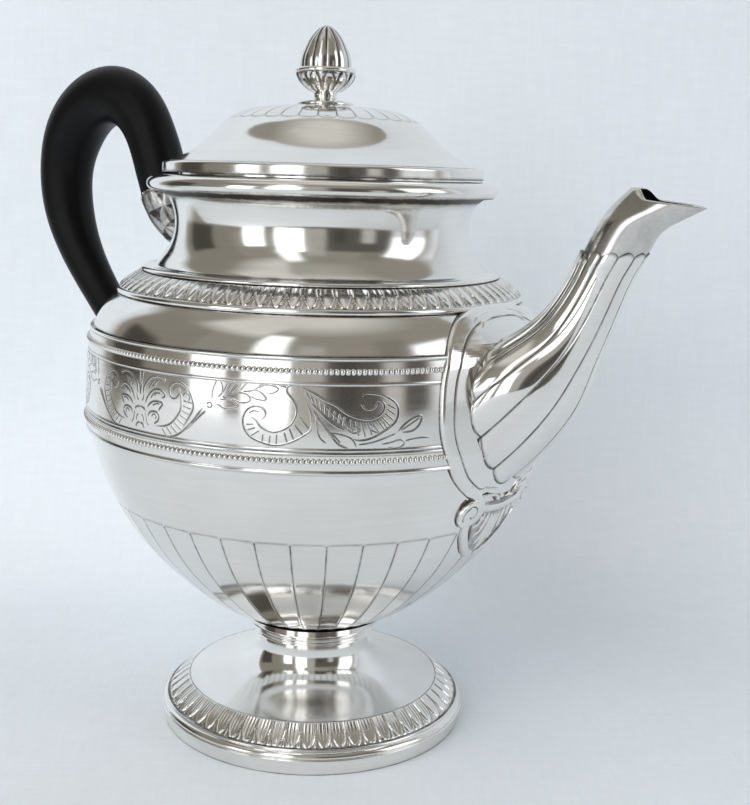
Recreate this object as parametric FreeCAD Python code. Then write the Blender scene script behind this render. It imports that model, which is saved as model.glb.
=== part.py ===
import FreeCAD, Part

import math
import os

from FreeCAD import Vector

# Silver pedestal teapot with an ebonised wood handle, in millimetres.
# Z is the pot's axis, the foot stands on z = 0, the spout points along +X and the handle along -X.

# Foot
FOOT_WALL_R = 48.0
FOOT_WALL_FLARE = 1.1
FOOT_WALL_H = 5.0
FOOT_EDGE_INSET = 1.8
FOOT_EDGE_H = 2.6
FOOT_RING_T = 3.0
FOOT_LEAF_INSET = 0.8
FOOT_LEAF_RUN = 6.1
FOOT_LEAF_H = 5.2
FOOT_WALL_T = 1.2
STEM_R = 17.0
FOOT_DOME_H = 14.2

# Stem collar, three turned rings of which the topmost is the largest
COLLAR_RINGS = 3
COLLAR_RING_H = 2.2
COLLAR_SPREAD = 1.4
COLLAR_STEP = 1.1
COLLAR_SWELL = 0.9
COLLAR_BORE_INSET = 2.5

# Body
WALL_T = 1.0
BAND_R = 70.0
BOWL_H = 60.9
BOWL_FOOT_EDGE = 0.3
BOWL_EDGE = 1.0
BAND_H = 30.0
BAND_T = 1.6
BAND_DRAW = 1.6
SHOULDER_H = 9.5
SHOULDER_EDGE = 0.8
SHOULDER_RUN = 7.2
FILLET_H = 1.8
FILLET_SWELL = 0.3
LEAF_INSET = 0.4
LEAF_RUN = 6.5
LEAF_H = 4.6
LEAF_T = 1.2
NECK_INSET = 0.6
NECK_SEAT = 2.4
NECK_RUN = 8.9
NECK_FLARE = 4.6
NECK_H = 23.2
NECK_THROAT_SHARE = 0.55
BEAD_R = 0.8
BEAD_EDGE = 3.5
BEAD_END_GAP = 0.05
BEAD_SEAT_GAP = 0.01

# Rim and mouth
RIM_H = 4.8
RIM_FOOT_EDGE = 2.0
RIM_SWELL = 1.5
RIM_ROUND = 3.8
RIM_LIP_T = 1.5
MOUTH_LIP = 4.5

# Lid
LID_GAP = 0.5
LID_EDGE = 3.8
LID_FLANGE_H = 3.3
LID_FLANGE_ROUND = 0.9
LID_INSET = 2.1
LID_H = 17.6
LID_T = 1.0
BEZEL_GAP = 0.8
BEZEL_T = 1.1
BEZEL_H = 5.0

# Hinge of the lid
KNUCKLE_R = 1.9
KNUCKLE_L = 6.0
KNUCKLE_GAP = 0.3
HINGE_GAP = 0.4
HINGE_LEAF_T = 1.6
HINGE_PIN_R = 0.8
HINGE_PIN_GAP = 0.05

# Finial
FINIAL_BASE_R = 8.2
FINIAL_STEM_R = 3.4
FINIAL_BASE_H = 1.8
FINIAL_EDGE_H = 0.3
CUP_R = 8.95
CUP_H = 8.4
ACORN_INSET = 1.45
ACORN_H = 12.4
STUD_R = 1.5
STUD_IN_ACORN = 5.0
NUT_FLAT_R = 3.5
NUT_H = 3.0
STUD_BELOW_NUT = 1.0

# Spout: stations of (out from the band, up from the band's middle, half thickness, half width)
SPOUT_STATIONS = (
    (-20.0, -17.5, 17.4, 27.5),
    (-5.8, -3.9, 16.0, 24.4),
    (6.1, 8.9, 13.9, 16.4),
    (11.9, 16.7, 10.9, 11.8),
    (15.9, 23.3, 9.3, 9.8),
    (19.7, 30.9, 8.3, 8.5),
    (22.8, 37.7, 7.8, 7.8),
    (27.6, 46.7, 7.4, 7.4),
)
SPOUT_WALL_T = 1.0
SPOUT_LOBES = 12
SPOUT_GROOVE = 0.6
SPOUT_BODY_TOP = 42.0
# Lip: stations of (out from the band, up from the spout body, half length, half width, fall in degrees)
LIP_STATIONS = (
    (25.1, 0.0, 8.4, 7.4, 0.0),
    (31.2, 9.7, 8.3, 6.9, 12.0),
    (38.9, 15.3, 9.9, 5.8, 12.8),
)

# Strainer in the wall behind the spout
STRAINER_R = 11.0
STRAINER_EDGE = 1.0
STRAINER_HOLE_R = 1.2
STRAINER_PITCH = 4.2

# Strap round the spout's root, and the drop below it
STRAP_T = 1.8
STRAP_HALF_W = 30.0
STRAP_HALF_H = 28.0
STRAP_DROP = 1.5
STRAP_BAND = 10.0
SCROLL_R = 3.7
SCROLL_OUT = 15.2
SCROLL_DROP = 3.5
SCROLL_T = 3.2
DROP_T = 2.6
DROP_HALF_W = 14.0
DROP_BULGE = 0.84
DROP_H = 17.5
DROP_BAR_H = 2.4

# Handle: stations of (out from the band, up from the rim's top, radius), from the lower end to the upper end
HANDLE_STATIONS = (
    (17.0, -52.8, 6.1),
    (28.0, -40.4, 6.4),
    (38.0, -26.4, 7.4),
    (43.5, -12.4, 8.5),
    (44.0, 0.6, 9.1),
    (39.5, 12.6, 9.9),
    (29.0, 22.4, 10.0),
    (18.5, 24.7, 9.7),
    (9.0, 20.6, 8.9),
    (2.5, 12.1, 8.3),
    (-2.0, 1.0, 8.3),
    (-4.1, -5.7, 8.0),
)
TENON_L = 6.0
TENON_STEP = 2.5
HANDLE_PIN_R = 1.2
# Upper socket: stations of (out from the band, up from the rim's top, radius), from the handle to the neck
UPPER_SOCKET_STATIONS = (
    (-5.8, -10.4, 7.9),
    (-8.8, -16.4, 6.1),
    (-13.4, -19.6, 4.7),
)
UPPER_SOCKET_ROOT_R = 4.2
SOCKET_LIP = 0.3
LOWER_SOCKET_BEND = 9.0
LOWER_SOCKET_GAP = 0.7
LOWER_SOCKET_R = 7.8

# Radii of the seams, each stepped in or out from the one that it meets
FOOT_BASE_R = FOOT_WALL_R - FOOT_WALL_FLARE
FOOT_EDGE_R = FOOT_WALL_R - FOOT_EDGE_INSET
FOOT_LEAF_R = FOOT_EDGE_R - FOOT_LEAF_INSET
FOOT_LEAF_TOP_R = FOOT_LEAF_R - FOOT_LEAF_RUN
COLLAR_LOW_R = STEM_R + COLLAR_SPREAD
COLLAR_R = COLLAR_LOW_R + COLLAR_STEP * (COLLAR_RINGS - 1)
BOWL_FOOT_R = COLLAR_R + BOWL_FOOT_EDGE
BAND_TOP_R = BAND_R - BAND_DRAW
SHOULDER_R = BAND_TOP_R - SHOULDER_EDGE
SHOULDER_TOP_R = SHOULDER_R - SHOULDER_RUN
FILLET_R = SHOULDER_TOP_R + FILLET_SWELL
LEAF_R = SHOULDER_TOP_R - LEAF_INSET
LEAF_TOP_R = LEAF_R - LEAF_RUN
NECK_BASE_R = LEAF_TOP_R - NECK_INSET
NECK_R = NECK_BASE_R - NECK_RUN
NECK_TOP_R = NECK_R + NECK_FLARE
RIM_FOOT_R = NECK_TOP_R + RIM_FOOT_EDGE
RIM_R = RIM_FOOT_R + RIM_SWELL
RIM_TOP_R = RIM_R - RIM_ROUND
MOUTH_R = RIM_TOP_R - MOUTH_LIP
LID_R = MOUTH_R + LID_EDGE
LID_FOOT_R = LID_R - LID_INSET
BEZEL_R = MOUTH_R - BEZEL_GAP
ACORN_R = CUP_R - ACORN_INSET

# Heights of the seams, from the table up
Z_FOOT_WALL = FOOT_WALL_H
Z_FOOT_RING = Z_FOOT_WALL + FOOT_EDGE_H
Z_FOOT_LEAF = Z_FOOT_RING + FOOT_LEAF_H
Z_STEM = Z_FOOT_LEAF + FOOT_DOME_H
Z_COLLAR = Z_STEM + COLLAR_RING_H * COLLAR_RINGS
Z_BOWL = Z_COLLAR + BOWL_H
Z_BAND = Z_BOWL + BAND_H
Z_SHOULDER = Z_BAND + SHOULDER_H
Z_FILLET = Z_SHOULDER + FILLET_H
Z_LEAF = Z_FILLET + LEAF_H
Z_NECK = Z_LEAF + NECK_H
Z_RIM = Z_NECK + RIM_H
Z_LID = Z_RIM + LID_GAP
Z_FLANGE = Z_LID + LID_FLANGE_H
Z_LID_TOP = Z_FLANGE + LID_H
Z_CUP = Z_LID_TOP + FINIAL_BASE_H
Z_ACORN = Z_CUP + CUP_H
Z_TOP = Z_ACORN + ACORN_H
Z_BAND_MID = (Z_BOWL + Z_BAND) / 2
Z_SPOUT = Z_BAND_MID + SPOUT_BODY_TOP

AXIS = Vector(0, 0, 1)
ORIGIN = Vector(0, 0, 0)


def point(radius, height):
    """Point of a turned outline, in the plane of X and Z."""
    return Vector(radius, 0, height)


def blend(start, end, shares):
    """Points of an outline between two ends, from the shares of the way out and up."""
    return [(start[0] + (end[0] - start[0]) * out, start[1] + (end[1] - start[1]) * up) for out, up in shares]


def smooth(points):
    """Smooth curve through the points of an outline."""
    curve = Part.BSplineCurve()
    curve.interpolate([point(*place) for place in points])
    return curve


def line(start, end):
    """Straight edge between two points."""
    return Part.LineSegment(start, end).toShape()


def arc(start, middle, end):
    """Arc of an outline through three of its points."""
    return Part.Arc(point(*start), point(*middle), point(*end)).toShape()


def turn(edges):
    """Solid turned about the pot's axis from the closed outline that the edges make."""
    return Part.Face(Part.Wire(edges)).revolve(ORIGIN, AXIS, 360)


def polygon_turn(points):
    """Solid turned from a closed outline of straight edges."""
    corners = [point(*place) for place in points]
    return turn([line(a, b) for a, b in zip(corners, corners[1:] + corners[:1])])


def parallel(points, wall, upright_ends):
    """Outline one wall inside another; each end is slid to an upright or a level cap."""
    curve = smooth(points)
    inner = []
    for place in points:
        along = curve.tangent(curve.parameter(point(*place)))[0]
        inward = Vector(-along.z, 0, along.x) * wall
        inner.append((point(*place) + inward, inward, along))
    for index, upright in zip((0, -1), upright_ends):
        place, inward, along = inner[index]
        slide = -inward.x / along.x if upright else -inward.z / along.z
        inner[index] = (place + along * slide, inward, along)
    return [(place.x, place.z) for place, _, _ in inner]


def between(outer, inner):
    """Turned solid between two outlines that run the same way."""
    return turn([smooth(outer).toShape(), line(point(*outer[-1]), point(*inner[-1])),
                 smooth(inner).toShape(), line(point(*inner[0]), point(*outer[0]))])


def shell(points, wall, upright_ends=(False, False)):
    """Turned shell with the given outer outline and wall."""
    return between(points, parallel(points, wall, upright_ends))


def solid_under(outlines):
    """Turned solid filled to the axis inside several outlines that follow each other upwards."""
    edges = []
    last = point(0, outlines[0][0][1])
    for points in outlines:
        start = point(*points[0])
        if (start - last).Length > 1e-6:
            edges.append(line(last, start))
        edges.append(smooth(points).toShape() if len(points) > 2 else line(start, point(*points[-1])))
        last = point(*points[-1])
    top = point(0, last.z)
    edges += [line(last, top), line(top, point(0, outlines[0][0][1]))]
    return turn(edges)


def slab(low, high, reach=300.0):
    """Block that holds everything between two heights."""
    return Part.makeBox(2 * reach, 2 * reach, high - low, Vector(-reach, -reach, low))


def rod(start, end, radius):
    """Round rod between two points."""
    return Part.makeCylinder(radius, (end - start).Length, start, end - start)


def largest(shape):
    """The largest of the solids in a shape."""
    return max(shape.Solids, key=lambda solid: solid.Volume)


def section(centre, along, half_thick, half_wide, arcs, groove=0.0):
    """Closed wire of arcs across a path in the plane of X and Z, with grooves where the arcs meet."""
    across = Vector(-along.z, 0, along.x)
    side = Vector(0, 1, 0)

    def place(turns, inset):
        angle = 2 * math.pi * turns / arcs
        return centre + across * ((half_thick - inset) * math.cos(angle)) + side * (
            (half_wide - inset) * math.sin(angle))

    edges = []
    for index in range(arcs):
        ends = (place(index - 0.5, groove), place(index, 0.0), place(index + 0.5, groove))
        edges.append(Part.Arc(*ends).toShape())
    return Part.Wire(edges)


def tangents(centres):
    """Directions of a smooth path at the points that it passes."""
    path = Part.BSplineCurve()
    path.interpolate(centres)
    return [path.tangent(path.parameter(centre))[0] for centre in centres]


def bowl_outline():
    """Bowl from the collar to the band, fullest below the band."""
    shares = ((0.0, 0.0), (0.145, 0.054), (0.33, 0.152), (0.538, 0.301), (0.703, 0.449),
              (0.822, 0.597), (0.91, 0.745), (0.968, 0.893), (1.0, 1.0))
    return blend((BOWL_FOOT_R, Z_COLLAR), (BAND_R - BOWL_EDGE, Z_BOWL), shares)


def band_outline():
    """Belly band, a little barrelled and drawn in at the top."""
    shares = ((0.0, 0.0), (0.0, 0.3), (0.35, 0.7), (1.0, 1.0))
    return blend((BAND_R, Z_BOWL), (BAND_TOP_R, Z_BAND), shares)


def shoulder_outline():
    """Shoulder that rounds over from the band to the fillet."""
    shares = ((0.0, 0.0), (0.13, 0.2), (0.32, 0.45), (0.58, 0.7), (1.0, 1.0))
    return blend((SHOULDER_R, Z_BAND), (SHOULDER_TOP_R, Z_SHOULDER), shares)


def leaf_outline():
    """Sloping leaf band on the shoulder, slightly swollen."""
    return blend((LEAF_R, Z_FILLET), (LEAF_TOP_R, Z_LEAF), ((0.0, 0.0), (0.42, 0.5), (1.0, 1.0)))


def neck_outline():
    """Hollow neck between the leaf band and the rim."""
    throat = (NECK_R, Z_LEAF + NECK_THROAT_SHARE * NECK_H)
    low_shares = ((0.0, 0.0), (0.3, 0.055), (0.63, 0.26), (0.87, 0.55), (1.0, 1.0))
    high_shares = ((0.14, 0.55), (0.52, 0.85), (1.0, 1.0))
    return blend((NECK_BASE_R, Z_LEAF), throat, low_shares) + blend(throat, (NECK_TOP_R, Z_NECK), high_shares)


def fillet_outline():
    """Straight stand-in outline of the fillet wire, used where pieces are fitted to the body."""
    return [(FILLET_R, Z_SHOULDER), (FILLET_R, Z_FILLET)]


def body_core():
    """The body filled to the axis, which pieces that sit on it are cut back to."""
    return solid_under([bowl_outline(), band_outline(), shoulder_outline(), fillet_outline(),
                        leaf_outline(), neck_outline()])


def foot_ring():
    """Base ring with a flared wall and a rounded upper edge."""
    wall_top = (FOOT_WALL_R, Z_FOOT_WALL)
    edge = blend(wall_top, (FOOT_EDGE_R, Z_FOOT_RING), ((0.25, 0.6), (1.0, 1.0)))
    inner_r = FOOT_BASE_R - FOOT_RING_T
    bottom = point(FOOT_BASE_R, 0)
    inner_top = point(inner_r, Z_FOOT_RING)
    inner_bottom = point(inner_r, 0)
    return turn([line(bottom, point(*wall_top)), arc(wall_top, *edge), line(point(*edge[-1]), inner_top),
                 line(inner_top, inner_bottom), line(inner_bottom, bottom)])


def foot_leaf_band():
    """Sloping band on the base ring that carries the foot's leaf border."""
    outline = blend((FOOT_LEAF_R, Z_FOOT_RING), (FOOT_LEAF_TOP_R, Z_FOOT_LEAF),
                    ((0.0, 0.0), (0.45, 0.52), (1.0, 1.0)))
    return shell(outline, FOOT_WALL_T, (False, True))


def foot_dome():
    """Trumpet from the leaf band up to the stem."""
    shares = ((0.0, 0.0), (0.4, 0.09), (0.76, 0.27), (0.94, 0.52), (1.0, 0.8), (0.995, 1.0))
    outline = blend((FOOT_LEAF_TOP_R, Z_FOOT_LEAF), (STEM_R, Z_STEM), shares)
    return shell(outline, FOOT_WALL_T, (True, False))


def stem_collar():
    """Turned rings, each larger than the one below, on a plain bore."""
    bore_r = STEM_R - COLLAR_BORE_INSET
    edges = []
    last = (bore_r, Z_STEM)
    for index in range(COLLAR_RINGS):
        ring_r = COLLAR_LOW_R + COLLAR_STEP * index
        low = (ring_r - COLLAR_SWELL, Z_STEM + COLLAR_RING_H * index)
        middle = (ring_r, low[1] + COLLAR_RING_H / 2)
        high = (low[0], low[1] + COLLAR_RING_H)
        edges += [line(point(*last), point(*low)), arc(low, middle, high)]
        last = high
    inner_top = point(bore_r, Z_COLLAR)
    edges += [line(point(*last), inner_top), line(inner_top, point(bore_r, Z_STEM))]
    return turn(edges)


def bowl():
    """Raised bowl with a flat closed bottom on the collar."""
    outer = bowl_outline()
    inner = parallel(outer, WALL_T, (False, False))
    floor_r = inner[1][0]
    floor_z = Z_COLLAR + WALL_T
    inner = [(floor_r - WALL_T, floor_z)] + inner[1:]
    corners = [point(0, Z_COLLAR), point(*outer[0]), point(*outer[-1]), point(*inner[-1]),
               point(*inner[0]), point(0, floor_z)]
    return turn([line(corners[0], corners[1]), smooth(outer).toShape(), line(corners[2], corners[3]),
                 smooth(inner).toShape(), line(corners[4], corners[5]), line(corners[5], corners[0])])


def strainer_cut():
    """Round plug through the wall behind the spout."""
    return rod(Vector(BAND_R / 2, 0, Z_BAND_MID), Vector(BAND_R * 1.2, 0, Z_BAND_MID), STRAINER_R)


def belly_band():
    """Engraved belt round the belly, open behind the spout."""
    return shell(band_outline(), BAND_T).cut(strainer_cut())


def strainer():
    """Patch of the wall pierced in rows of holes on a triangular grid."""
    plate = shell(band_outline(), BAND_T).common(strainer_cut())
    reach = STRAINER_R - STRAINER_HOLE_R - STRAINER_EDGE
    row_h = STRAINER_PITCH * math.sqrt(3) / 2
    rows = int(reach // row_h)
    holes = []
    for row in range(-rows, rows + 1):
        shift = STRAINER_PITCH / 2 * (row % 2)
        count = int(2 * reach // STRAINER_PITCH) + 2
        for column in range(-count, count + 1):
            across = column * STRAINER_PITCH + shift
            up = row * row_h
            if math.hypot(across, up) <= reach:
                start = Vector(BAND_R / 2, across, Z_BAND_MID + up)
                holes.append(rod(start, start + Vector(BAND_R, 0, 0), STRAINER_HOLE_R))
    return plate.cut(Part.makeCompound(holes))


def shoulder():
    """Smooth shoulder above the band."""
    return shell(shoulder_outline(), WALL_T)


def shoulder_fillet():
    """Rounded wire between the shoulder and its leaf band."""
    inner_r = LEAF_R - 3 * LEAF_T
    low = (SHOULDER_TOP_R, Z_SHOULDER)
    high = (LEAF_R, Z_FILLET)
    inner_high = point(inner_r, Z_FILLET)
    inner_low = point(inner_r, Z_SHOULDER)
    return turn([arc(low, (FILLET_R, (Z_SHOULDER + Z_FILLET) / 2), high), line(point(*high), inner_high),
                 line(inner_high, inner_low), line(inner_low, point(*low))])


def shoulder_leaf_band():
    """Leaf band that closes the shoulder to the neck."""
    return shell(leaf_outline(), LEAF_T)


def neck():
    """Hollow neck, which stands on the leaf band with a flat seat."""
    outer = neck_outline()
    inner = [(NECK_BASE_R - NECK_SEAT, Z_LEAF)] + parallel(outer, WALL_T, (False, False))[1:]
    return between(outer, inner)


def strap_middle():
    """Height of the middle of the strap's oval."""
    return Z_BAND_MID - STRAP_DROP


def strap_disc(inset, depth):
    """Oval prism along X over the spout's root, as wide as the strap less the inset."""
    centre = Vector(0, 0, strap_middle())
    oval = section(centre, Vector(1, 0, 0), STRAP_HALF_H - inset, STRAP_HALF_W - inset, 4)
    return Part.Face(oval).extrude(Vector(depth, 0, 0))


def crossing(outline, height):
    """Place where an outline of the body passes a height."""
    level = Part.LineSegment(point(0, height), point(2 * BAND_R, height))
    place = outline.intersectCC(level)[0]
    return (place.X, place.Z)


def strap_half_width(height):
    """Distance from the strap's middle to its outer edge at a height."""
    rise = (height - strap_middle()) / STRAP_HALF_H
    return STRAP_HALF_W * math.sqrt(1 - rise * rise)


def bead_wire(height):
    """Beaded wire round the band, from one side of the spout's strap to the other."""
    outline = smooth(band_outline())
    low = (crossing(outline, height - BEAD_R)[0] + BEAD_SEAT_GAP, height - BEAD_R)
    high = (crossing(outline, height + BEAD_R)[0] + BEAD_SEAT_GAP, height + BEAD_R)
    crown = (crossing(outline, height)[0] + BEAD_R, height)
    seat = line(point(*low), point(*high))
    half_width = max(strap_half_width(low[1]), strap_half_width(high[1])) + BEAD_END_GAP
    start = math.degrees(math.asin(half_width / min(low[0], high[0])))
    face = Part.Face(Part.Wire([seat, arc(high, crown, low)]))
    face.rotate(ORIGIN, AXIS, start)
    return face.revolve(ORIGIN, AXIS, 360 - 2 * start)


def rim():
    """Rounded rim moulding with a thin lip that forms the mouth."""
    bulge = (RIM_R, Z_NECK + 0.44 * RIM_H)
    low = blend((RIM_FOOT_R, Z_NECK), bulge, ((0.0, 0.0), (0.78, 0.42), (1.0, 1.0)))
    high = blend(bulge, (RIM_TOP_R, Z_RIM), ((0.24, 0.62), (1.0, 1.0)))
    inner_r = NECK_TOP_R - 2 * WALL_T
    corners = [point(RIM_TOP_R, Z_RIM), point(MOUTH_R, Z_RIM), point(MOUTH_R, Z_RIM - RIM_LIP_T),
               point(inner_r, Z_RIM - RIM_LIP_T), point(inner_r, Z_NECK), point(RIM_FOOT_R, Z_NECK)]
    return turn([smooth(low + high).toShape()] + [line(a, b) for a, b in zip(corners, corners[1:])])


def spout_loft(wall, arcs, groove):
    """Curved spout filled solid, less the given wall all round."""
    centres = [Vector(BAND_R + out, 0, Z_BAND_MID + up) for out, up, _, _ in SPOUT_STATIONS]
    wires = [section(centre, along, thick - wall, wide - wall, arcs, groove)
             for centre, along, (_, _, thick, wide) in zip(centres, tangents(centres), SPOUT_STATIONS)]
    return Part.makeLoft(wires, True, False)


def spout_body():
    """Lobed spout from the body to the plain lip, with its channel."""
    outer = spout_loft(0.0, SPOUT_LOBES, SPOUT_GROOVE)
    channel = spout_loft(SPOUT_WALL_T + SPOUT_GROOVE, 4, 0.0)
    return outer.cut(body_core()).common(slab(0, Z_SPOUT)).cut(channel)


def lip_loft(wall):
    """Plain lip filled solid, less the given wall all round."""
    wires = []
    for out, up, long, wide, fall in LIP_STATIONS:
        angle = math.radians(fall)
        along = Vector(math.sin(angle), 0, math.cos(angle))
        centre = Vector(BAND_R + out, 0, Z_SPOUT + up)
        wires.append(section(centre, along, long - wall, wide - wall, 4))
    return Part.makeLoft(wires, True, False)


def spout_lip():
    """Plain lip with the pouring mouth."""
    return lip_loft(0.0).cut(lip_loft(SPOUT_WALL_T))


def strap_shell(thick):
    """Layer of even thickness over the body where the strap and the drop lie."""
    outline = bowl_outline()[3:-1] + band_outline() + shoulder_outline()[1:]
    return solid_under([[(radius + thick, height) for radius, height in outline]]).cut(body_core())


def scroll(side):
    """Round scroll end of the strap on one side of the spout."""
    height = scroll_height()
    body_r = crossing(smooth(bowl_outline()), height)[0]
    angle = side * math.asin(SCROLL_OUT / body_r)
    outward = Vector(math.cos(angle), math.sin(angle), 0)
    start = outward * (body_r - 4 * SCROLL_T) + Vector(0, 0, height)
    return rod(start, start + outward * (5 * SCROLL_T), SCROLL_R)


def scroll_height():
    """Height of the scrolls' centres, hung from the strap's lower edge."""
    drop = STRAP_HALF_H * math.sqrt(1 - (SCROLL_OUT / STRAP_HALF_W) ** 2)
    return strap_middle() - drop - SCROLL_DROP


def spout_strap():
    """Strap round the spout's root with two scroll ends."""
    band = strap_disc(0.0, 2 * BAND_R).cut(strap_disc(STRAP_BAND, 2 * BAND_R))
    band = band.common(strap_shell(STRAP_T)).common(slab(0, Z_SHOULDER))
    whole = band.fuse([scroll(side).cut(body_core()) for side in (-1, 1)])
    return whole.removeSplitter().cut(spout_loft(0.0, SPOUT_LOBES, SPOUT_GROOVE))


def spout_drop():
    """Reeded drop with a cross bar under the strap."""
    top = scroll_height()
    tip = Vector(0, 0, top - DROP_H)
    left = Vector(0, -DROP_HALF_W, top)
    right = Vector(0, DROP_HALF_W, top)
    bulge_z = top - 0.5 * DROP_H
    bulge_y = DROP_BULGE * DROP_HALF_W
    edges = [line(left, right), Part.Arc(right, Vector(0, bulge_y, bulge_z), tip).toShape(),
             Part.Arc(tip, Vector(0, -bulge_y, bulge_z), left).toShape()]
    leaf = Part.Face(Part.Wire(edges)).extrude(Vector(2 * BAND_R, 0, 0)).common(strap_shell(DROP_T))
    bar = Part.makeBox(2 * BAND_R, 2 * SCROLL_OUT, DROP_BAR_H, Vector(0, -SCROLL_OUT, top - DROP_BAR_H / 2))
    bar = bar.common(strap_shell(DROP_T))
    whole = leaf.fuse(bar).removeSplitter()
    return whole.cut(spout_strap()).cut(spout_loft(0.0, SPOUT_LOBES, SPOUT_GROOVE))


def handle_centres():
    """Centres of the handle's stations, from the lower end to the upper end."""
    return [Vector(-BAND_R - out, 0, Z_RIM + up) for out, up, _ in HANDLE_STATIONS]


def handle_ends():
    """Lower and upper end of the handle: centre, direction into the socket and radius."""
    centres = handle_centres()
    along = tangents(centres)
    lower = (centres[0], along[0] * -1, HANDLE_STATIONS[0][2])
    upper = (centres[-1], along[-1], HANDLE_STATIONS[-1][2])
    return lower, upper


def tenon(end):
    """Turned tenon that fills its socket."""
    centre, inward, radius = end
    return rod(centre, centre + inward * TENON_L, radius - TENON_STEP)


def pin_hole(end):
    """Long rod through the middle of a tenon, for its cross pin."""
    centre, inward, radius = end
    middle = centre + inward * (TENON_L / 2)
    reach = Vector(0, 2 * radius, 0)
    return rod(middle - reach, middle + reach, HANDLE_PIN_R)


def handle():
    """Ebonised wood handle with a tenon at each end."""
    centres = handle_centres()
    wires = [section(centre, along, radius, radius, 2)
             for centre, along, (_, _, radius) in zip(centres, tangents(centres), HANDLE_STATIONS)]
    ends = handle_ends()
    whole = Part.makeLoft(wires, True, False).fuse([tenon(end) for end in ends]).removeSplitter()
    return whole.cut([pin_hole(end) for end in ends])


def horn(centres, along, radii):
    """Round horn through stations of centre, direction and radius."""
    wires = [section(centre, way, radius, radius, 2) for centre, way, radius in zip(centres, along, radii)]
    return Part.makeLoft(wires, True, False)


def lower_socket_solid():
    """Lower socket filled solid: a short horn that turns level into the band."""
    centre, inward, radius = handle_ends()[0]
    bend = centre + inward * LOWER_SOCKET_BEND
    root_z = Z_BOWL + BEAD_EDGE + BEAD_R + LOWER_SOCKET_GAP + LOWER_SOCKET_R
    root = Vector(-BAND_R + 2 * BAND_T, 0, root_z)
    level = Vector(1, 0, 0)
    mouth_r = radius + SOCKET_LIP
    return horn((centre, bend, root), (inward, (inward + level).normalize(), level),
                (mouth_r, (mouth_r + LOWER_SOCKET_R) / 2, LOWER_SOCKET_R)).cut(body_core())


def upper_socket_solid():
    """Upper socket filled solid: a leaf-shaped horn that tapers down into the neck."""
    centre, inward, radius = handle_ends()[1]
    centres = [centre] + [Vector(-BAND_R - out, 0, Z_RIM + up) for out, up, _ in UPPER_SOCKET_STATIONS]
    centres.append(Vector(-NECK_R + 2 * WALL_T, 0, centres[-1].z))
    along = [inward] + tangents(centres)[1:]
    radii = [radius + SOCKET_LIP] + [size for _, _, size in UPPER_SOCKET_STATIONS] + [UPPER_SOCKET_ROOT_R]
    return horn(centres, along, radii).cut(body_core())


def lower_socket():
    """Lower socket, bored for the tenon and its pin."""
    end = handle_ends()[0]
    return lower_socket_solid().cut(tenon(end)).cut(pin_hole(end))


def upper_socket():
    """Upper socket, bored for the tenon and its pin."""
    end = handle_ends()[1]
    return upper_socket_solid().cut(tenon(end)).cut(pin_hole(end))


def lower_handle_pin():
    """Cross pin of the lower socket, filed flush."""
    return pin_hole(handle_ends()[0]).common(lower_socket_solid())


def upper_handle_pin():
    """Cross pin of the upper socket, filed flush."""
    return pin_hole(handle_ends()[1]).common(upper_socket_solid())


def lid_outline():
    """Lid from its flange to the finial: hollow at the edge, round above and almost flat on top."""
    shares = ((0.0, 0.0), (0.125, 0.148), (0.257, 0.398), (0.37, 0.676),
              (0.477, 0.835), (0.716, 0.955), (1.0, 1.0))
    return blend((LID_FOOT_R, Z_FLANGE), (STUD_R, Z_LID_TOP), shares)


def lid_dome():
    """Lid shell with a hole for the finial's stud."""
    return shell(lid_outline(), LID_T, (False, True))


def lid_flange():
    """Flat ring with a rounded upper edge that covers the rim."""
    bore_r = BEZEL_R - BEZEL_T
    side = (LID_R, Z_FLANGE - LID_FLANGE_ROUND)
    top = (LID_R - LID_FLANGE_ROUND, Z_FLANGE)
    middle = blend(side, top, ((1 - math.sqrt(0.5), math.sqrt(0.5)),))[0]
    corners = [point(*top), point(bore_r, Z_FLANGE), point(bore_r, Z_LID), point(LID_R, Z_LID), point(*side)]
    return turn([arc(side, middle, top)] + [line(a, b) for a, b in zip(corners, corners[1:])])


def lid_bezel():
    """Collar under the lid that drops into the mouth."""
    return polygon_turn([(BEZEL_R - BEZEL_T, Z_LID - BEZEL_H), (BEZEL_R, Z_LID - BEZEL_H),
                         (BEZEL_R, Z_LID), (BEZEL_R - BEZEL_T, Z_LID)])


def hinge_place():
    """Middle of the hinge, beside the lid's flange on the handle side."""
    return Vector(-LID_R - HINGE_GAP - KNUCKLE_R, 0, Z_LID + LID_FLANGE_H / 2)


def knuckle(middle_y):
    """Plain barrel on the hinge axis."""
    middle = hinge_place() + Vector(0, middle_y, 0)
    half = Vector(0, KNUCKLE_L / 2, 0)
    return rod(middle - half, middle + half, KNUCKLE_R)


def hinge_pin():
    """Pin through the three knuckles."""
    reach = Vector(0, 1.5 * KNUCKLE_L + KNUCKLE_GAP, 0)
    return rod(hinge_place() - reach, hinge_place() + reach, HINGE_PIN_R)


def rim_knuckle(side):
    """Knuckle on the rim, on one side of the lid's knuckle."""
    middle_y = side * (KNUCKLE_L + KNUCKLE_GAP)
    place = hinge_place()
    leaf = Part.makeBox(HINGE_LEAF_T, KNUCKLE_L, place.z - Z_NECK,
                        Vector(place.x - HINGE_LEAF_T / 2, middle_y - KNUCKLE_L / 2, Z_NECK))
    whole = knuckle(middle_y).fuse(leaf).removeSplitter()
    return largest(whole.cut(rim()).cut(hinge_pin()))


def left_rim_knuckle():
    """Rim knuckle on the -Y side."""
    return rim_knuckle(-1)


def right_rim_knuckle():
    """Rim knuckle on the +Y side."""
    return rim_knuckle(1)


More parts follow.
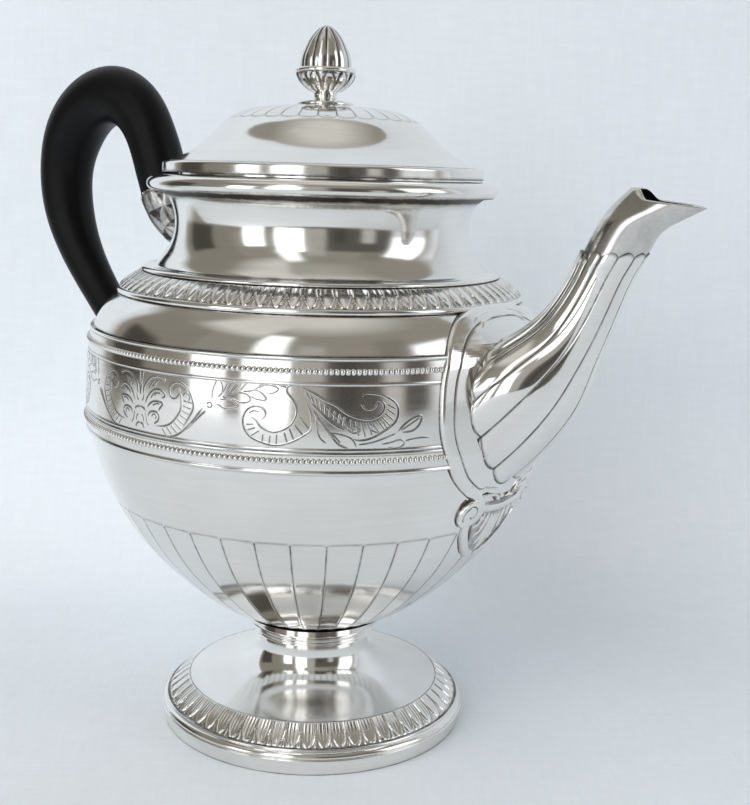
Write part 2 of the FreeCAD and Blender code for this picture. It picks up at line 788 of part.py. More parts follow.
def lid_knuckle():
    """Knuckle of the lid, joined to the flange by a short arm."""
    place = hinge_place()
    arm = Part.makeBox(LID_R / 2, KNUCKLE_L, HINGE_LEAF_T,
                       Vector(place.x, -KNUCKLE_L / 2, place.z - HINGE_LEAF_T / 2))
    bore = rod(place - Vector(0, KNUCKLE_L, 0), place + Vector(0, KNUCKLE_L, 0), HINGE_PIN_R + HINGE_PIN_GAP)
    whole = knuckle(0).fuse(arm).removeSplitter()
    return max(whole.cut(lid_flange()).cut(bore).Solids, key=lambda solid: -solid.CenterOfMass.x)


def finial_base():
    """Small spreading base on top of the lid."""
    hidden_z = Z_LID_TOP - 2 * LID_T
    edge = (FINIAL_BASE_R, Z_LID_TOP + FINIAL_EDGE_H)
    stem = (FINIAL_STEM_R, Z_CUP)
    hollow = blend(edge, stem, ((0.8, 0.35),))[0]
    corners = [point(*stem), point(STUD_R, Z_CUP), point(STUD_R, hidden_z), point(FINIAL_BASE_R, hidden_z),
               point(*edge)]
    whole = turn([arc(edge, hollow, stem)] + [line(a, b) for a, b in zip(corners, corners[1:])])
    return whole.cut(solid_under([lid_outline()]))


def finial_cup():
    """Leaf cup that holds the acorn, bored for the stud."""
    shares = ((0.0, 0.0), (0.12, 0.14), (0.42, 0.33), (0.74, 0.55), (0.94, 0.74), (1.0, 0.86), (0.88, 1.0))
    outline = blend((FINIAL_STEM_R, Z_CUP), (CUP_R, Z_ACORN), shares)
    low = point(STUD_R, Z_CUP)
    high = point(STUD_R, Z_ACORN)
    return turn([line(low, point(*outline[0])), smooth(outline).toShape(),
                 line(point(*outline[-1]), high), line(high, low)])


def finial_acorn():
    """Acorn with a blind hole for the stud."""
    shares = ((0.0, 0.0), (0.01, 0.14), (0.07, 0.31), (0.18, 0.47),
              (0.32, 0.64), (0.5, 0.79), (0.71, 0.91), (1.0, 1.0))
    outline = blend((ACORN_R, Z_ACORN), (0.0, Z_TOP), shares)
    hole_top = Z_ACORN + STUD_IN_ACORN
    corners = [point(STUD_R, Z_ACORN), point(*outline[0]), point(*outline[-1]), point(0, hole_top),
               point(STUD_R, hole_top)]
    return turn([line(corners[0], corners[1]), smooth(outline).toShape(), line(corners[2], corners[3]),
                 line(corners[3], corners[4]), line(corners[4], corners[0])])


def nut_bottom():
    """Height of the underside of the finial's nut."""
    return Z_LID_TOP - LID_T - NUT_H


def finial_stud():
    """Stud from below the nut up into the acorn."""
    return rod(point(0, nut_bottom() - STUD_BELOW_NUT), point(0, Z_ACORN + STUD_IN_ACORN), STUD_R)


def finial_nut():
    """Six-sided nut under the lid."""
    corner_r = NUT_FLAT_R / math.cos(math.pi / 6)
    corners = [Vector(corner_r * math.cos(index * math.pi / 3), corner_r * math.sin(index * math.pi / 3),
                      nut_bottom()) for index in range(6)]
    prism = Part.Face(Part.makePolygon(corners + corners[:1])).extrude(Vector(0, 0, NUT_H + LID_T / 2))
    return prism.cut(lid_dome()).cut(finial_stud())


def lower_bead_wire():
    """Beaded wire near the lower edge of the band."""
    return bead_wire(Z_BOWL + BEAD_EDGE)


def upper_bead_wire():
    """Beaded wire near the upper edge of the band."""
    return bead_wire(Z_BAND - BEAD_EDGE)


SUB_PARTS = (
    foot_ring, foot_leaf_band, foot_dome, stem_collar, bowl, belly_band, lower_bead_wire, upper_bead_wire,
    shoulder, shoulder_fillet, shoulder_leaf_band, neck, rim, spout_body, spout_lip, spout_strap, spout_drop,
    strainer, lower_socket, upper_socket, handle, lower_handle_pin, upper_handle_pin, left_rim_knuckle,
    right_rim_knuckle, hinge_pin, lid_knuckle, lid_dome, lid_flange, lid_bezel, finial_base, finial_cup,
    finial_acorn, finial_stud, finial_nut,
)


def main():
    """Build each sub-part and write it to its own file."""
    os.makedirs("parts", exist_ok=True)
    for build in SUB_PARTS:
        shape = build()
        solids = shape.Solids
        whole = solids[0] if len(solids) == 1 else Part.makeCompound(solids)
        whole.exportStep("parts/%s.step" % build.__name__)
        state = "valid" if whole.isValid() else "not valid"
        print("%-20s %d solid(s) %9.1f mm3 %s" % (build.__name__, len(solids), whole.Volume, state))


main()
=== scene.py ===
import logging
import math
from dataclasses import dataclass, field
from enum import Enum
from typing import Callable, Dict, List, Optional, Sequence, Tuple, Union

import bpy
import numpy as np
from mathutils import Matrix, Vector


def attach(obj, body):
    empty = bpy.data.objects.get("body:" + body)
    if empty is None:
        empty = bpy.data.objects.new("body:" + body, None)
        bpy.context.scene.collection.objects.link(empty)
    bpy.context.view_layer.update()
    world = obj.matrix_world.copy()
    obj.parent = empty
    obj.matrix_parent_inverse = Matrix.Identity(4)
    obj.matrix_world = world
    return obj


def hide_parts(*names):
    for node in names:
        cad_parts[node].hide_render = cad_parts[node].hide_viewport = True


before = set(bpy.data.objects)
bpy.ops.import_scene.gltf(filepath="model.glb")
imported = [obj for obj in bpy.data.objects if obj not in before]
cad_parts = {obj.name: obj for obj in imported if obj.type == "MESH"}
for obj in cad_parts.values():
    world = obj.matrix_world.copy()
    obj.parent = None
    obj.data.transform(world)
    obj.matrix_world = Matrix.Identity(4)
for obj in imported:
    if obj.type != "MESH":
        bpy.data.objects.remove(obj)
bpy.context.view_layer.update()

LOG = logging.getLogger("teapot")
MM = 0.001
TURN = 2 * math.pi
Grid = np.ndarray
Pair = Tuple[float, float]
Relief = Callable[[Grid, Grid], Tuple[Grid, Grid]]
Chart = Callable[[Grid, Grid, Grid], Grid]
Line = Tuple[Pair, ...]
Rows = Tuple[Tuple[float, ...], ...]
Points = Union[Grid, Sequence[Sequence[float]]]
Colour = Tuple[float, float, float, float]
Material, Node, Socket = bpy.types.Material, bpy.types.Node, bpy.types.NodeSocket
Value = Union[float, Socket]
Inputs = Dict[Union[str, int], object]

# Radii of the seams between the turned pieces, in millimetres, from the foot up to the lid.
FOOT_LEAF_R, FOOT_DOME_R, STEM_R, BOWL_FOOT_R, BAND_R = 45.4, 39.3, 17.0, 20.9, 70.0
BAND_TOP_R, SHOULDER_R, SHOULDER_TOP_R, LEAF_R, LEAF_TOP_R = 68.4, 67.6, 60.4, 60.0, 53.5
NECK_BASE_R, NECK_R, NECK_TOP_R, RIM_FOOT_R, RIM_R, RIM_TOP_R = 52.9, 44.0, 48.6, 50.6, 52.1, 48.3
MOUTH_R, LID_R, LID_FOOT_R, BEZEL_R, BEZEL_BORE_R, STUD_R = 43.8, 47.6, 45.5, 43.0, 41.9, 1.5

# Heights of the same seams, from the foot ring up to the tip of the acorn.
Z_FOOT_RING, Z_FOOT_LEAF, Z_STEM, Z_COLLAR, Z_BOWL, Z_BAND = 7.6, 12.8, 27.0, 33.6, 94.5, 124.5
Z_SHOULDER, Z_FILLET, Z_LEAF, Z_NECK, Z_RIM = 134.0, 135.8, 140.4, 163.6, 168.4
Z_LID, Z_FLANGE, Z_LID_TOP = 168.9, 172.2, 189.8
Z_FINIAL, Z_CUP, Z_ACORN, Z_TOP = 189.3, 191.6, 200.0, 212.4
Z_MID = (Z_BOWL + Z_BAND) / 2

# Solids that are shown as they are, in silver.
PLAIN_SOLIDS = ("strainer", "lower_socket", "lower_handle_pin", "left_rim_knuckle", "right_rim_knuckle",
                "hinge_pin", "lid_knuckle", "finial_stud", "finial_nut")

# Places that agree to one part in this many of a millimetre are joined.
WELD = 1e4
# Lengths below this count as none.
TINY = 1e-9


class Body(Enum):
    """Moving body that a piece rides."""

    POT = "pot"
    LID = "lid"


class Slot(Enum):
    """Material slot of the record that a piece belongs to."""

    SILVER = "silver"
    WOOD = "ebonised_wood"


def spline(knots: Points, count: int) -> Grid:
    """Sample a natural cubic spline, with chord length as its parameter, at even steps.

    Args:
        knots: points that the curve passes, one per row.
        count: number of samples.

    Returns:
        Samples, one per row.
    """
    knots = np.asarray(knots, float)
    place = np.concatenate([[0.0], np.cumsum(np.linalg.norm(np.diff(knots, axis=0), axis=1))])
    size = len(knots)
    step = np.diff(place)
    matrix = np.eye(size)
    right = np.zeros_like(knots)
    inner = np.arange(1, size - 1)
    matrix[inner, inner - 1] = step[:-1]
    matrix[inner, inner] = 2 * (step[:-1] + step[1:])
    matrix[inner, inner + 1] = step[1:]
    slope = np.diff(knots, axis=0) / step[:, None]
    right[1:-1] = 6 * np.diff(slope, axis=0)
    bend = np.linalg.solve(matrix, right)
    at = np.linspace(0.0, place[-1], count)
    part = np.clip(np.searchsorted(place, at, side="right") - 1, 0, size - 2)
    after = (at - place[part])[:, None]
    before = (place[part + 1] - at)[:, None]
    width = step[part][:, None]
    low, high = knots[part], knots[part + 1]
    bend_low, bend_high = bend[part], bend[part + 1]
    return (bend_low * before ** 3 / (6 * width) + bend_high * after ** 3 / (6 * width)
            + (low / width - bend_low * width / 6) * before + (high / width - bend_high * width / 6) * after)


def between(start: Pair, end: Pair, shares: Sequence[Pair]) -> Grid:
    """Points at given shares of the way between two seams.

    Args:
        start: radius and height of the first seam.
        end: radius and height of the last seam.
        shares: shares of the way out and of the way up.

    Returns:
        Radius and height, one pair per row.
    """
    low, high = np.array(start), np.array(end)
    return low + (high - low) * np.array(shares)


def outline(start: Pair, end: Pair, shares: Sequence[Pair], count: int) -> Grid:
    """Smooth turned outline between two seams.

    Args:
        start: radius and height of the first seam.
        end: radius and height of the last seam.
        shares: shares of the way out and up that the curve passes.
        count: number of samples.

    Returns:
        Radius and height, one pair per row.
    """
    return spline(between(start, end, shares), count)


def polyline(points: Sequence[Pair], per_edge: int = 6) -> Grid:
    """Straight outline with even samples on each edge.

    Args:
        points: corners of the outline.
        per_edge: samples on each edge.

    Returns:
        Radius and height, one pair per row.
    """
    corners = np.array(points, float)
    share = np.linspace(0.0, 1.0, per_edge, endpoint=False)[None, :, None]
    edges = corners[:-1, None] + (corners[1:] - corners[:-1])[:, None] * share
    return np.concatenate([edges.reshape(-1, corners.shape[1]), corners[-1:]])


def bore(radius: float, low: float, high: float) -> Grid:
    """Outline of a plain round hole.

    Args:
        radius: radius of the hole.
        low: height of its lower end.
        high: height of its upper end.

    Returns:
        Radius and height, one pair per row.
    """
    return polyline([(radius, low), (radius, high)])


def normals(profile: Grid) -> Grid:
    """Unit normals to the right of an outline that runs upwards, which is its outer side.

    Args:
        profile: radius and height, one pair per row.

    Returns:
        Normals, one pair per row.
    """
    along = np.gradient(profile, axis=0)
    out = np.stack([along[:, 1], -along[:, 0]], -1)
    return out / np.maximum(np.linalg.norm(out, axis=1, keepdims=True), TINY)


def inward(profile: Grid, wall: float) -> Grid:
    """Outline moved inwards by a wall.

    Args:
        profile: radius and height, one pair per row.
        wall: thickness of the wall.

    Returns:
        Radius and height, one pair per row.
    """
    return profile - wall * normals(profile)


def ring_middle(ring: Grid) -> Grid:
    """Middle of a ring, repeated so that a grid can close on it.

    Args:
        ring: places round the ring, one per row.

    Returns:
        Places shaped 1, columns, 3.
    """
    return np.repeat(ring.mean(axis=0)[None, None], len(ring), axis=1)


def soft(low: float, high: float, value: Grid) -> Grid:
    """Smooth step of a value from 0 at the low edge to 1 at the high edge.

    Args:
        low: edge that gives 0.
        high: edge that gives 1.
        value: values to step.

    Returns:
        Stepped values.
    """
    share = np.clip((value - low) / (high - low), 0.0, 1.0)
    return share * share * (3 - 2 * share)


def ridge(value: Grid, width: float) -> Grid:
    """Bell curve of a distance.

    Args:
        value: distance from the crest.
        width: distance at which the bell falls to about a third.

    Returns:
        Heights from 0 to 1.
    """
    return np.exp(-(value / width) ** 2)


def cell(theta: Grid, count: int, phase: float = 0.0) -> Grid:
    """Place inside each of a ring of equal cells, from -0.5 to 0.5.

    Args:
        theta: angles in radians.
        count: number of cells in the ring.
        phase: angle of a line between two cells.

    Returns:
        Place inside the cell of each angle.
    """
    return np.mod((theta - phase) * count / TURN, 1.0) - 0.5


@dataclass
class Sheet:
    """Surface on a grid of two parameters.

    Attributes:
        points: places in millimetres, shaped rows, columns, 3, with any number of grids before the rows.
        cavity: how dark each place is made, from 0 to 1: tarnish in crevices, and painted shade in gaps,
            recesses and shaded sides.
        closed: whether the surface encloses a volume.
    """

    points: Grid
    cavity: Optional[Grid] = None
    closed: bool = True

    def faces(self) -> Tuple[Grid, Grid, Grid, Grid]:
        """Join places that coincide and list the faces.

        Returns:
            Places, cavity values, quads and triangles.
        """
        flat = self.points.reshape(-1, 3)
        cavity = np.zeros(len(flat)) if self.cavity is None else np.ravel(self.cavity)
        keys = np.round(flat * WELD).astype(np.int64)
        _, first, where = np.unique(keys, axis=0, return_index=True, return_inverse=True)
        index = where.reshape(self.points.shape[:-1])
        corners = (index[..., :-1, :-1], index[..., 1:, :-1], index[..., 1:, 1:], index[..., :-1, 1:])
        quads = np.stack(corners, -1).reshape(-1, 4)
        same = quads == np.roll(quads, -1, axis=1)
        count = same.sum(axis=1)
        crossed = (quads[:, 0] == quads[:, 2]) | (quads[:, 1] == quads[:, 3])
        whole = quads[(count == 0) & ~crossed]
        bent = quads[(count == 1) & ~crossed]
        turn = same[(count == 1) & ~crossed].argmax(axis=1)
        triangles = np.take_along_axis(bent, (turn[:, None] + np.array([1, 2, 3])) % 4, axis=1)
        return flat[first], cavity[first], whole, triangles

    def build(self, name: str, material: Material, crease: float = 38.0) -> bpy.types.Object:
        """Make the mesh object, with its faces outward.

        Args:
            name: name of the object.
            material: finish of the surface.
            crease: angle in degrees above which an edge is sharp.

        Returns:
            The new object.
        """
        places, cavity, quads, triangles = self.faces()
        if self.closed:
            fans = np.concatenate([quads[:, [0, 1, 2]], quads[:, [0, 2, 3]], triangles])
            a, b, c = (places[fans[:, corner]] for corner in range(3))
            if np.einsum("ij,ij->i", a, np.cross(b, c)).sum() < 0:
                quads, triangles = quads[:, ::-1], triangles[:, ::-1]
        corners = np.concatenate([quads.ravel(), triangles.ravel()]).astype(np.int32)
        starts = np.concatenate([np.arange(len(quads)) * 4, len(quads) * 4 + np.arange(len(triangles)) * 3])
        mesh = bpy.data.meshes.new(name)
        mesh.vertices.add(len(places))
        mesh.vertices.foreach_set("co", (places * MM).astype(np.float32).ravel())
        mesh.loops.add(len(corners))
        mesh.loops.foreach_set("vertex_index", corners)
        mesh.polygons.add(len(starts))
        mesh.polygons.foreach_set("loop_start", starts.astype(np.int32))
        mesh.update(calc_edges=True)
        mesh.attributes.new("cavity", "FLOAT", "POINT").data.foreach_set("value", cavity.astype(np.float32))
        mesh.shade_smooth()
        mesh.set_sharp_from_angle(angle=math.radians(crease))
        mesh.materials.append(material)
        piece = bpy.data.objects.new(name, mesh)
        bpy.context.scene.collection.objects.link(piece)
        return piece


@dataclass
class Turned:
    """Piece turned about the pot's axis, with relief on its outer side.

    A place is the outline's point moved along the outline's normal by the relief and turned by the angle.

    Attributes:
        outer: outer outline, running upwards.
        inner: inner outline, running upwards; empty for a piece that is filled to the axis.
        segments: steps round the axis.
        relief: heights and cavity values from angle and place on the outer outline.
        seam_tarnish_and_shade: widths of the darkening along the lower and the upper seam, 0 for none; it is
            tarnish at some seams and painted shade at others, under the rim, under the lid's flange and where
            the foot ring meets the cloth.
        cells: cells round the axis whose edges get finer steps; 0 for even steps.
        phase: angle of one edge, in degrees.
        coarse: step between the points that are kept of a long inner outline.
        long: number of points above which an inner outline is long.
        crowd: how strongly steps gather at the edges of cells, below 1.
        stain: strength of the darkening along the seams, tarnish and painted shade.
    """

    outer: Grid
    inner: Grid
    segments: int = 240
    relief: Optional[Relief] = None
    seam_tarnish_and_shade: Pair = (0.0, 0.0)
    cells: int = 0
    phase: float = 0.0
    coarse: int = 6
    long: int = 30
    crowd: float = 0.85
    stain: float = 0.95

    def sheet(self) -> Sheet:
        """Surface of the piece.

        Returns:
            Closed sheet.
        """
        even = np.linspace(0.0, TURN, self.segments + 1)[:, None]
        theta = math.radians(self.phase) + even - self.crowd / max(self.cells, 1) * np.sin(self.cells * even)
        inner = self.inner if len(self.inner) else self.outer[[0, -1]] * (0.0, 1.0)
        if len(inner) > self.long:
            inner = np.concatenate([inner[:-1:self.coarse], inner[-1:]])
        rows, count = len(theta), len(self.outer)
        loop = np.concatenate([self.outer, inner[::-1], self.outer[:1]])
        radius = np.repeat(loop[None, :, 0], rows, axis=0)
        height = np.repeat(loop[None, :, 1], rows, axis=0)
        cavity = np.zeros((rows, len(loop)))
        if self.relief is not None:
            raised, darkness = self.relief(theta, self.outer)
            out = normals(self.outer)
            radius[:, :count] += raised * out[:, 0]
            height[:, :count] += raised * out[:, 1]
            cavity[:, :count] = darkness
        arc = np.append(0.0, np.cumsum(np.linalg.norm(np.diff(self.outer, axis=0), axis=1)))
        # Seam darkening: tarnish at some seams, painted shade at others.
        for width, away in zip(self.seam_tarnish_and_shade, (arc, arc[-1] - arc)):
            if width:
                seam = self.stain * max(width, 1.0) * ridge(away, width)
                cavity[:, :count] = np.maximum(cavity[:, :count], seam)
        radius[:, -1], height[:, -1], cavity[:, -1] = radius[:, 0], height[:, 0], cavity[:, 0]
        return Sheet(np.stack([radius * np.cos(theta), radius * np.sin(theta), height], -1), cavity)


@dataclass(frozen=True)
class Ribbon:
    """Narrow relief along lines on the body.

    A place is the line's point moved across the line by a share of the half width, then raised from the body.

    Attributes:
        half: half width.
        height: height of the crest.
        groove: depth of a dark groove along the crest, as a share of the height.
        taper: share of the line over which each end narrows to a point.
        samples: samples along each line.
        columns: samples across each line.
        sink: how deep the edges lie in the body.
        edge: darkening along the edges of a ribbon without a groove.
    """

    half: float
    height: float
    groove: float = 0.0
    taper: float = 0.12
    samples: int = 56
    columns: int = 9
    sink: float = 0.04
    edge: float = 0.45

    def sheet(self, lines: Sequence[Points], chart: Chart) -> Sheet:
        """Surface of the ribbons along several lines.

        Args:
            lines: points that each line passes, in the two measures of the chart.
            chart: gives places from the two measures and the height over the body.

        Returns:
            Closed sheet with one grid per line.
        """
        paths = np.stack([spline(line, self.samples) for line in lines])
        along = np.gradient(paths, axis=1)
        along /= np.maximum(np.linalg.norm(along, axis=2, keepdims=True), TINY)
        share = np.linspace(0.0, 1.0, self.samples)
        ends = np.sqrt(np.clip(np.minimum(share, 1 - share) / self.taper, 0.0, 1.0))[None, :, None]
        step = np.append(np.linspace(-1.0, 1.0, self.columns), -1.0)[None, None, :]
        crest = np.sqrt(np.clip(1 - step ** 2, 0.0, 1.0)) - self.groove * ridge(step, 0.3)
        shift = self.half * ends * step
        first = paths[..., :1] - along[..., 1:] * shift
        second = paths[..., 1:] + along[..., :1] * shift
        points = chart(first, second, -self.sink + (self.sink + self.height * crest) * ends)
        edge = 0.0 if self.groove else self.edge
        darkness = ridge(step, 0.5) * min(1.0, 2 * self.groove) + edge * soft(0.7, 1.0, np.abs(step))
        return Sheet(points, np.clip(darkness + 0 * ends + 0 * first, 0.0, 1.0))


@dataclass
class Swept:
    """Round piece swept along a path in the plane of X and Z.

    A place is the path's point plus the half sizes times the cosine and sine of the angle, across the path.
    The lean times the square of the sine moves the widest part of a section across the path.

    Attributes:
        path: X and Z of the path, one pair per row.
        thick: half size in the plane of the path.
        wide: half size along Y.
        segments: steps round the path.
        lean: how far the widest part lies off the path.
    """

    path: Grid
    thick: Grid
    wide: Grid
    segments: int = 96
    lean: Union[float, Grid] = 0.0

    def frame(self) -> Tuple[Grid, Grid]:
        """Angles round the path and directions across it.

        Returns:
            Angles shaped 1, columns; directions shaped rows, 2.
        """
        along = np.gradient(self.path, axis=0)
        along /= np.linalg.norm(along, axis=1, keepdims=True)
        angle = np.linspace(0.0, TURN, self.segments + 1)[None, :]
        return angle, np.stack([-along[:, 1], along[:, 0]], -1)

    def places(self, raised: Union[float, Grid] = 0.0) -> Grid:
        """Places of the surface, raised by a relief.

        Args:
            raised: height of the relief.

        Returns:
            Places shaped rows, columns, 3.
        """
        angle, across = self.frame()
        reach = (self.thick[:, None] + raised) * np.cos(angle) + self.lean * np.sin(angle) ** 2
        side = (self.wide[:, None] + raised) * np.sin(angle)
        out, up = (self.path[:, k:k + 1] + across[:, k:k + 1] * reach for k in (0, 1))
        return np.stack([out, side, up], -1)

    def capped(self, raised: Union[float, Grid] = 0.0) -> Grid:
        """Places of the surface with both ends drawn to a point on the path.

        Args:
            raised: height of the relief.

        Returns:
            Places shaped rows + 2, columns, 3.
        """
        places = self.places(raised)
        ends = np.stack([self.path[[0, -1], 0], np.zeros(2), self.path[[0, -1], 1]], -1)
        ring = np.repeat(ends[:, None], places.shape[1], axis=1)
        return np.concatenate([ring[:1], places, ring[1:]])


@dataclass
class Graph:
    """Short way to add and link shader nodes.

    Attributes:
        tree: tree that receives the nodes.
    """

    tree: bpy.types.NodeTree

    def feed(self, node: Node, inputs: Inputs) -> None:
        """Feed the inputs of a node.

        Args:
            node: node to feed.
            inputs: constants or sockets by input name or number.
        """
        for name, value in inputs.items():
            if isinstance(value, Socket):
                self.tree.links.new(value, node.inputs[name])
            else:
                node.inputs[name].default_value = value

    def add(self, kind: str, inputs: Optional[Inputs] = None, **settings: object) -> Node:
        """Add a node, set it up and feed its inputs.

        Args:
            kind: node type.
            inputs: constants or sockets by input name or number.
            settings: properties of the node.

        Returns:
            The node.
        """
        node = self.tree.nodes.new(kind)
        for name, setting in settings.items():
            setattr(node, name, setting)
        self.feed(node, inputs or {})
        return node

    def math(self, operation: str, *values: Value, clamp: bool = False) -> Socket:
        """Add a math node.

        Args:
            operation: name of the operation.
            values: constants or sockets.
            clamp: whether the result is held between 0 and 1.

        Returns:
            Its output.
        """
        node = self.add("ShaderNodeMath", dict(enumerate(values)), operation=operation, use_clamp=clamp)
        return node.outputs[0]

    def mix(self, factor: Value, first: object, second: object) -> Socket:
        """Mix two colours.

        Args:
            factor: share of the second colour.
            first: colour at 0.
            second: colour at 1.

        Returns:
            The mixed colour.
        """
        return self.add("ShaderNodeMix", {0: factor, 6: first, 7: second}, data_type="RGBA").outputs[2]

    def noise(self, place: Socket, scale: float, detail: float = 2.0) -> Socket:
        """Add a noise texture.

        Args:
            place: coordinates.
            scale: scale of the noise.
            detail: octaves.

        Returns:
            Its value.
        """
        node = self.add("ShaderNodeTexNoise", {"Vector": place, "Scale": scale, "Detail": detail})
        return node.outputs["Fac"]

    def place(self) -> Socket:
        """Add coordinates that stay with the piece.

        Returns:
            The coordinates.
        """
        return self.add("ShaderNodeTexCoord").outputs["Object"]

    def stretch(self, place: Socket, scale: Sequence[float], turn: float = 0.0) -> Socket:
        """Turn coordinates about Z and stretch them.

        Args:
            place: coordinates.
            scale: scale along each axis.
            turn: angle in radians.

        Returns:
            The new coordinates.
        """
        inputs = {"Vector": place, "Rotation": (0.0, 0.0, turn), "Scale": scale}
        return self.add("ShaderNodeMapping", inputs).outputs[0]

    def span(self, value: Socket, low: float, high: float) -> Socket:
        """Map a span of a value to the span from 0 to 1.

        Args:
            value: value to map.
            low: value that gives 0.
            high: value that gives 1.

        Returns:
            The mapped value.
        """
        inputs = {"Value": value, "From Min": low, "From Max": high}
        return self.add("ShaderNodeMapRange", inputs).outputs[0]

    def bump(self, height: Value, strength: float, distance: float) -> Socket:
        """Add a bump.

        Args:
            height: height from 0 to 1.
            strength: share of the bump that is used.
            distance: height of the bump in metres.

        Returns:
            The bumped normal.
        """
        inputs = {"Height": height, "Strength": strength, "Distance": distance}
        return self.add("ShaderNodeBump", inputs).outputs[0]


def group(name: str, inputs: Dict[str, str], outputs: Dict[str, str]) -> Tuple[Graph, Node, Node]:
    """Start a shader node group.

    Args:
        name: name of the group.
        inputs: socket types of its inputs by name.
        outputs: socket types of its outputs by name.

    Returns:
        Graph of the group, its input node and its output node.
    """
    tree = bpy.data.node_groups.new(name, "ShaderNodeTree")
    for way, sockets in (("INPUT", inputs), ("OUTPUT", outputs)):
        for label, kind in sockets.items():
            tree.interface.new_socket(label, in_out=way, socket_type="NodeSocket" + kind)
    graph = Graph(tree)
    return graph, graph.add("NodeGroupInput"), graph.add("NodeGroupOutput")


def new_material(name: str) -> Tuple[Material, Graph, Node]:
    """Start a material with a Principled shader.

    Args:
        name: name of the material.

    Returns:
        The material, its graph and its shader.
    """
    material = bpy.data.materials.new(name)
    material.use_nodes = True
    graph = Graph(material.node_tree)
    return material, graph, material.node_tree.nodes["Principled BSDF"]


@dataclass(frozen=True)
class SilverFinish:
    """Polished silver with tarnish left in the crevices, and painted shade where the cavity value marks gaps,
    recesses and shaded sides.

    Attributes:
        bright: colour of the polished metal.
        dull: colour of the metal under a film of handling.
        dark: colour of the tarnish, also used for the painted shade.
        roughness: roughness of the polish.
        film: share of the dull colour where the film is full.
        film_rough: roughness that a full film adds.
        tarnish_rough: roughness that full darkening adds, at tarnish and at painted shade.
        clouds: scale of the film's clouds.
        patches: scale of the patches in the tarnish.
        specks: scale of the specks in the tarnish.
        dents: scale of the hammered unevenness.
        scratches: scales of the fine scratches round the pot.
        dent: height of the unevenness in metres.
    """

    bright: Colour = (0.90, 0.89, 0.865, 1.0)
    dull: Colour = (0.68, 0.66, 0.615, 1.0)
    dark: Colour = (0.06, 0.055, 0.048, 1.0)
    roughness: float = 0.075
    film: float = 0.45
    film_rough: float = 0.1
    tarnish_rough: float = 0.3
    clouds: float = 38.0
    patches: float = 170.0
    specks: float = 900.0
    dents: float = 28.0
    scratches: Tuple[float, float, float] = (50.0, 50.0, 1100.0)
    dent: float = 0.0004

    def tarnish_shade_and_haze(self) -> bpy.types.NodeTree:
        """Group that turns a cavity value into darkening, haze and a slightly hammered normal.

        Darkening is the cavity times patches and specks; it is tarnish in the crevices and painted shade
        where the cavity marks shade. Haze is the sum of clouds and fine scratches.

        Returns:
            The node group.
        """
        graph, given, result = group("silver_tarnish_shade_and_haze", {"Place": "Vector", "Cavity": "Float"},
                                     {"Darkening": "Float", "Haze": "Float", "Normal": "Vector"})
        place, cavity = given.outputs["Place"], given.outputs["Cavity"]
        patchy = graph.math("MULTIPLY_ADD", graph.noise(place, self.patches, 2.0), 1.2, -0.05)
        ragged = graph.math("MULTIPLY_ADD", graph.noise(place, self.specks, 3.0), 0.9, patchy)
        # Darkening: tarnish in the crevices, and painted shade in the gaps, recesses and shaded sides that
        # the cavity marks.
        tarnish = graph.math("MULTIPLY", cavity, ragged, clamp=True)
        streak = graph.noise(graph.stretch(place, self.scratches), 1.0, 4.0)
        cloud = graph.noise(place, self.clouds, 5.0)
        film = graph.span(cloud, 0.38, 0.72)
        scratched = graph.math("MULTIPLY_ADD", streak, 0.9, -0.25)
        haze = graph.math("MULTIPLY_ADD", film, 0.55, scratched, clamp=True)
        uneven = graph.math("ADD", graph.noise(place, self.dents, 1.0), graph.math("MULTIPLY", streak, 0.022))
        normal = graph.bump(uneven, 0.25, self.dent)
        graph.feed(result, {"Darkening": tarnish, "Haze": haze, "Normal": normal})
        return graph.tree

    def material(self) -> Material:
        """Make the material.

        Returns:
            The material.
        """
        material, graph, shader = new_material("silver")
        cavity = graph.add("ShaderNodeAttribute", attribute_name="cavity").outputs["Fac"]
        inputs = {"Place": graph.place(), "Cavity": cavity}
        tarnish_shade_and_haze = graph.add("ShaderNodeGroup", inputs, node_tree=self.tarnish_shade_and_haze()).outputs
        polish = graph.mix(graph.math("MULTIPLY", tarnish_shade_and_haze["Haze"], self.film), self.bright, self.dull)
        rough = graph.math("MULTIPLY_ADD", tarnish_shade_and_haze["Haze"], self.film_rough, self.roughness)
        graph.feed(shader, {
            # The dark colour paints both tarnish and painted shade, by the darkening value.
            "Base Color": graph.mix(tarnish_shade_and_haze["Darkening"], polish, self.dark),
            "Roughness": graph.math("MULTIPLY_ADD", tarnish_shade_and_haze["Darkening"], self.tarnish_rough, rough),
            "Normal": tarnish_shade_and_haze["Normal"],
            "Metallic": 1.0,
        })
        return material


@dataclass(frozen=True)
class WoodFinish:
    """Black stained wood with a satin polish.

    Attributes:
        stain: colour between the pores.
        pore: colour of the pores.
        grain: scales of the grain.
        roughness: roughness between the pores.
        pore_rough: roughness that a pore adds.
        specular: level of the mirror reflection.
        depth: depth of the pores in metres.
    """

    stain: Colour = (0.004, 0.004, 0.0045, 1.0)
    pore: Colour = (0.002, 0.002, 0.002, 1.0)
    grain: Tuple[float, float, float] = (140.0, 700.0, 140.0)
    roughness: float = 0.34
    pore_rough: float = 0.12
    specular: float = 0.15
    depth: float = 0.0001

    def material(self) -> Material:
        """Make the material.

        Returns:
            The material.
        """
        material, graph, shader = new_material("ebonised_wood")
        grain = graph.noise(graph.stretch(graph.place(), self.grain), 1.0, 4.0)
        graph.feed(shader, {
            "Base Color": graph.mix(grain, self.stain, self.pore),
            "Roughness": graph.math("MULTIPLY_ADD", grain, self.pore_rough, self.roughness),
            "Normal": graph.bump(grain, 0.2, self.depth),
            "Specular IOR Level": self.specular,
        })
        return material


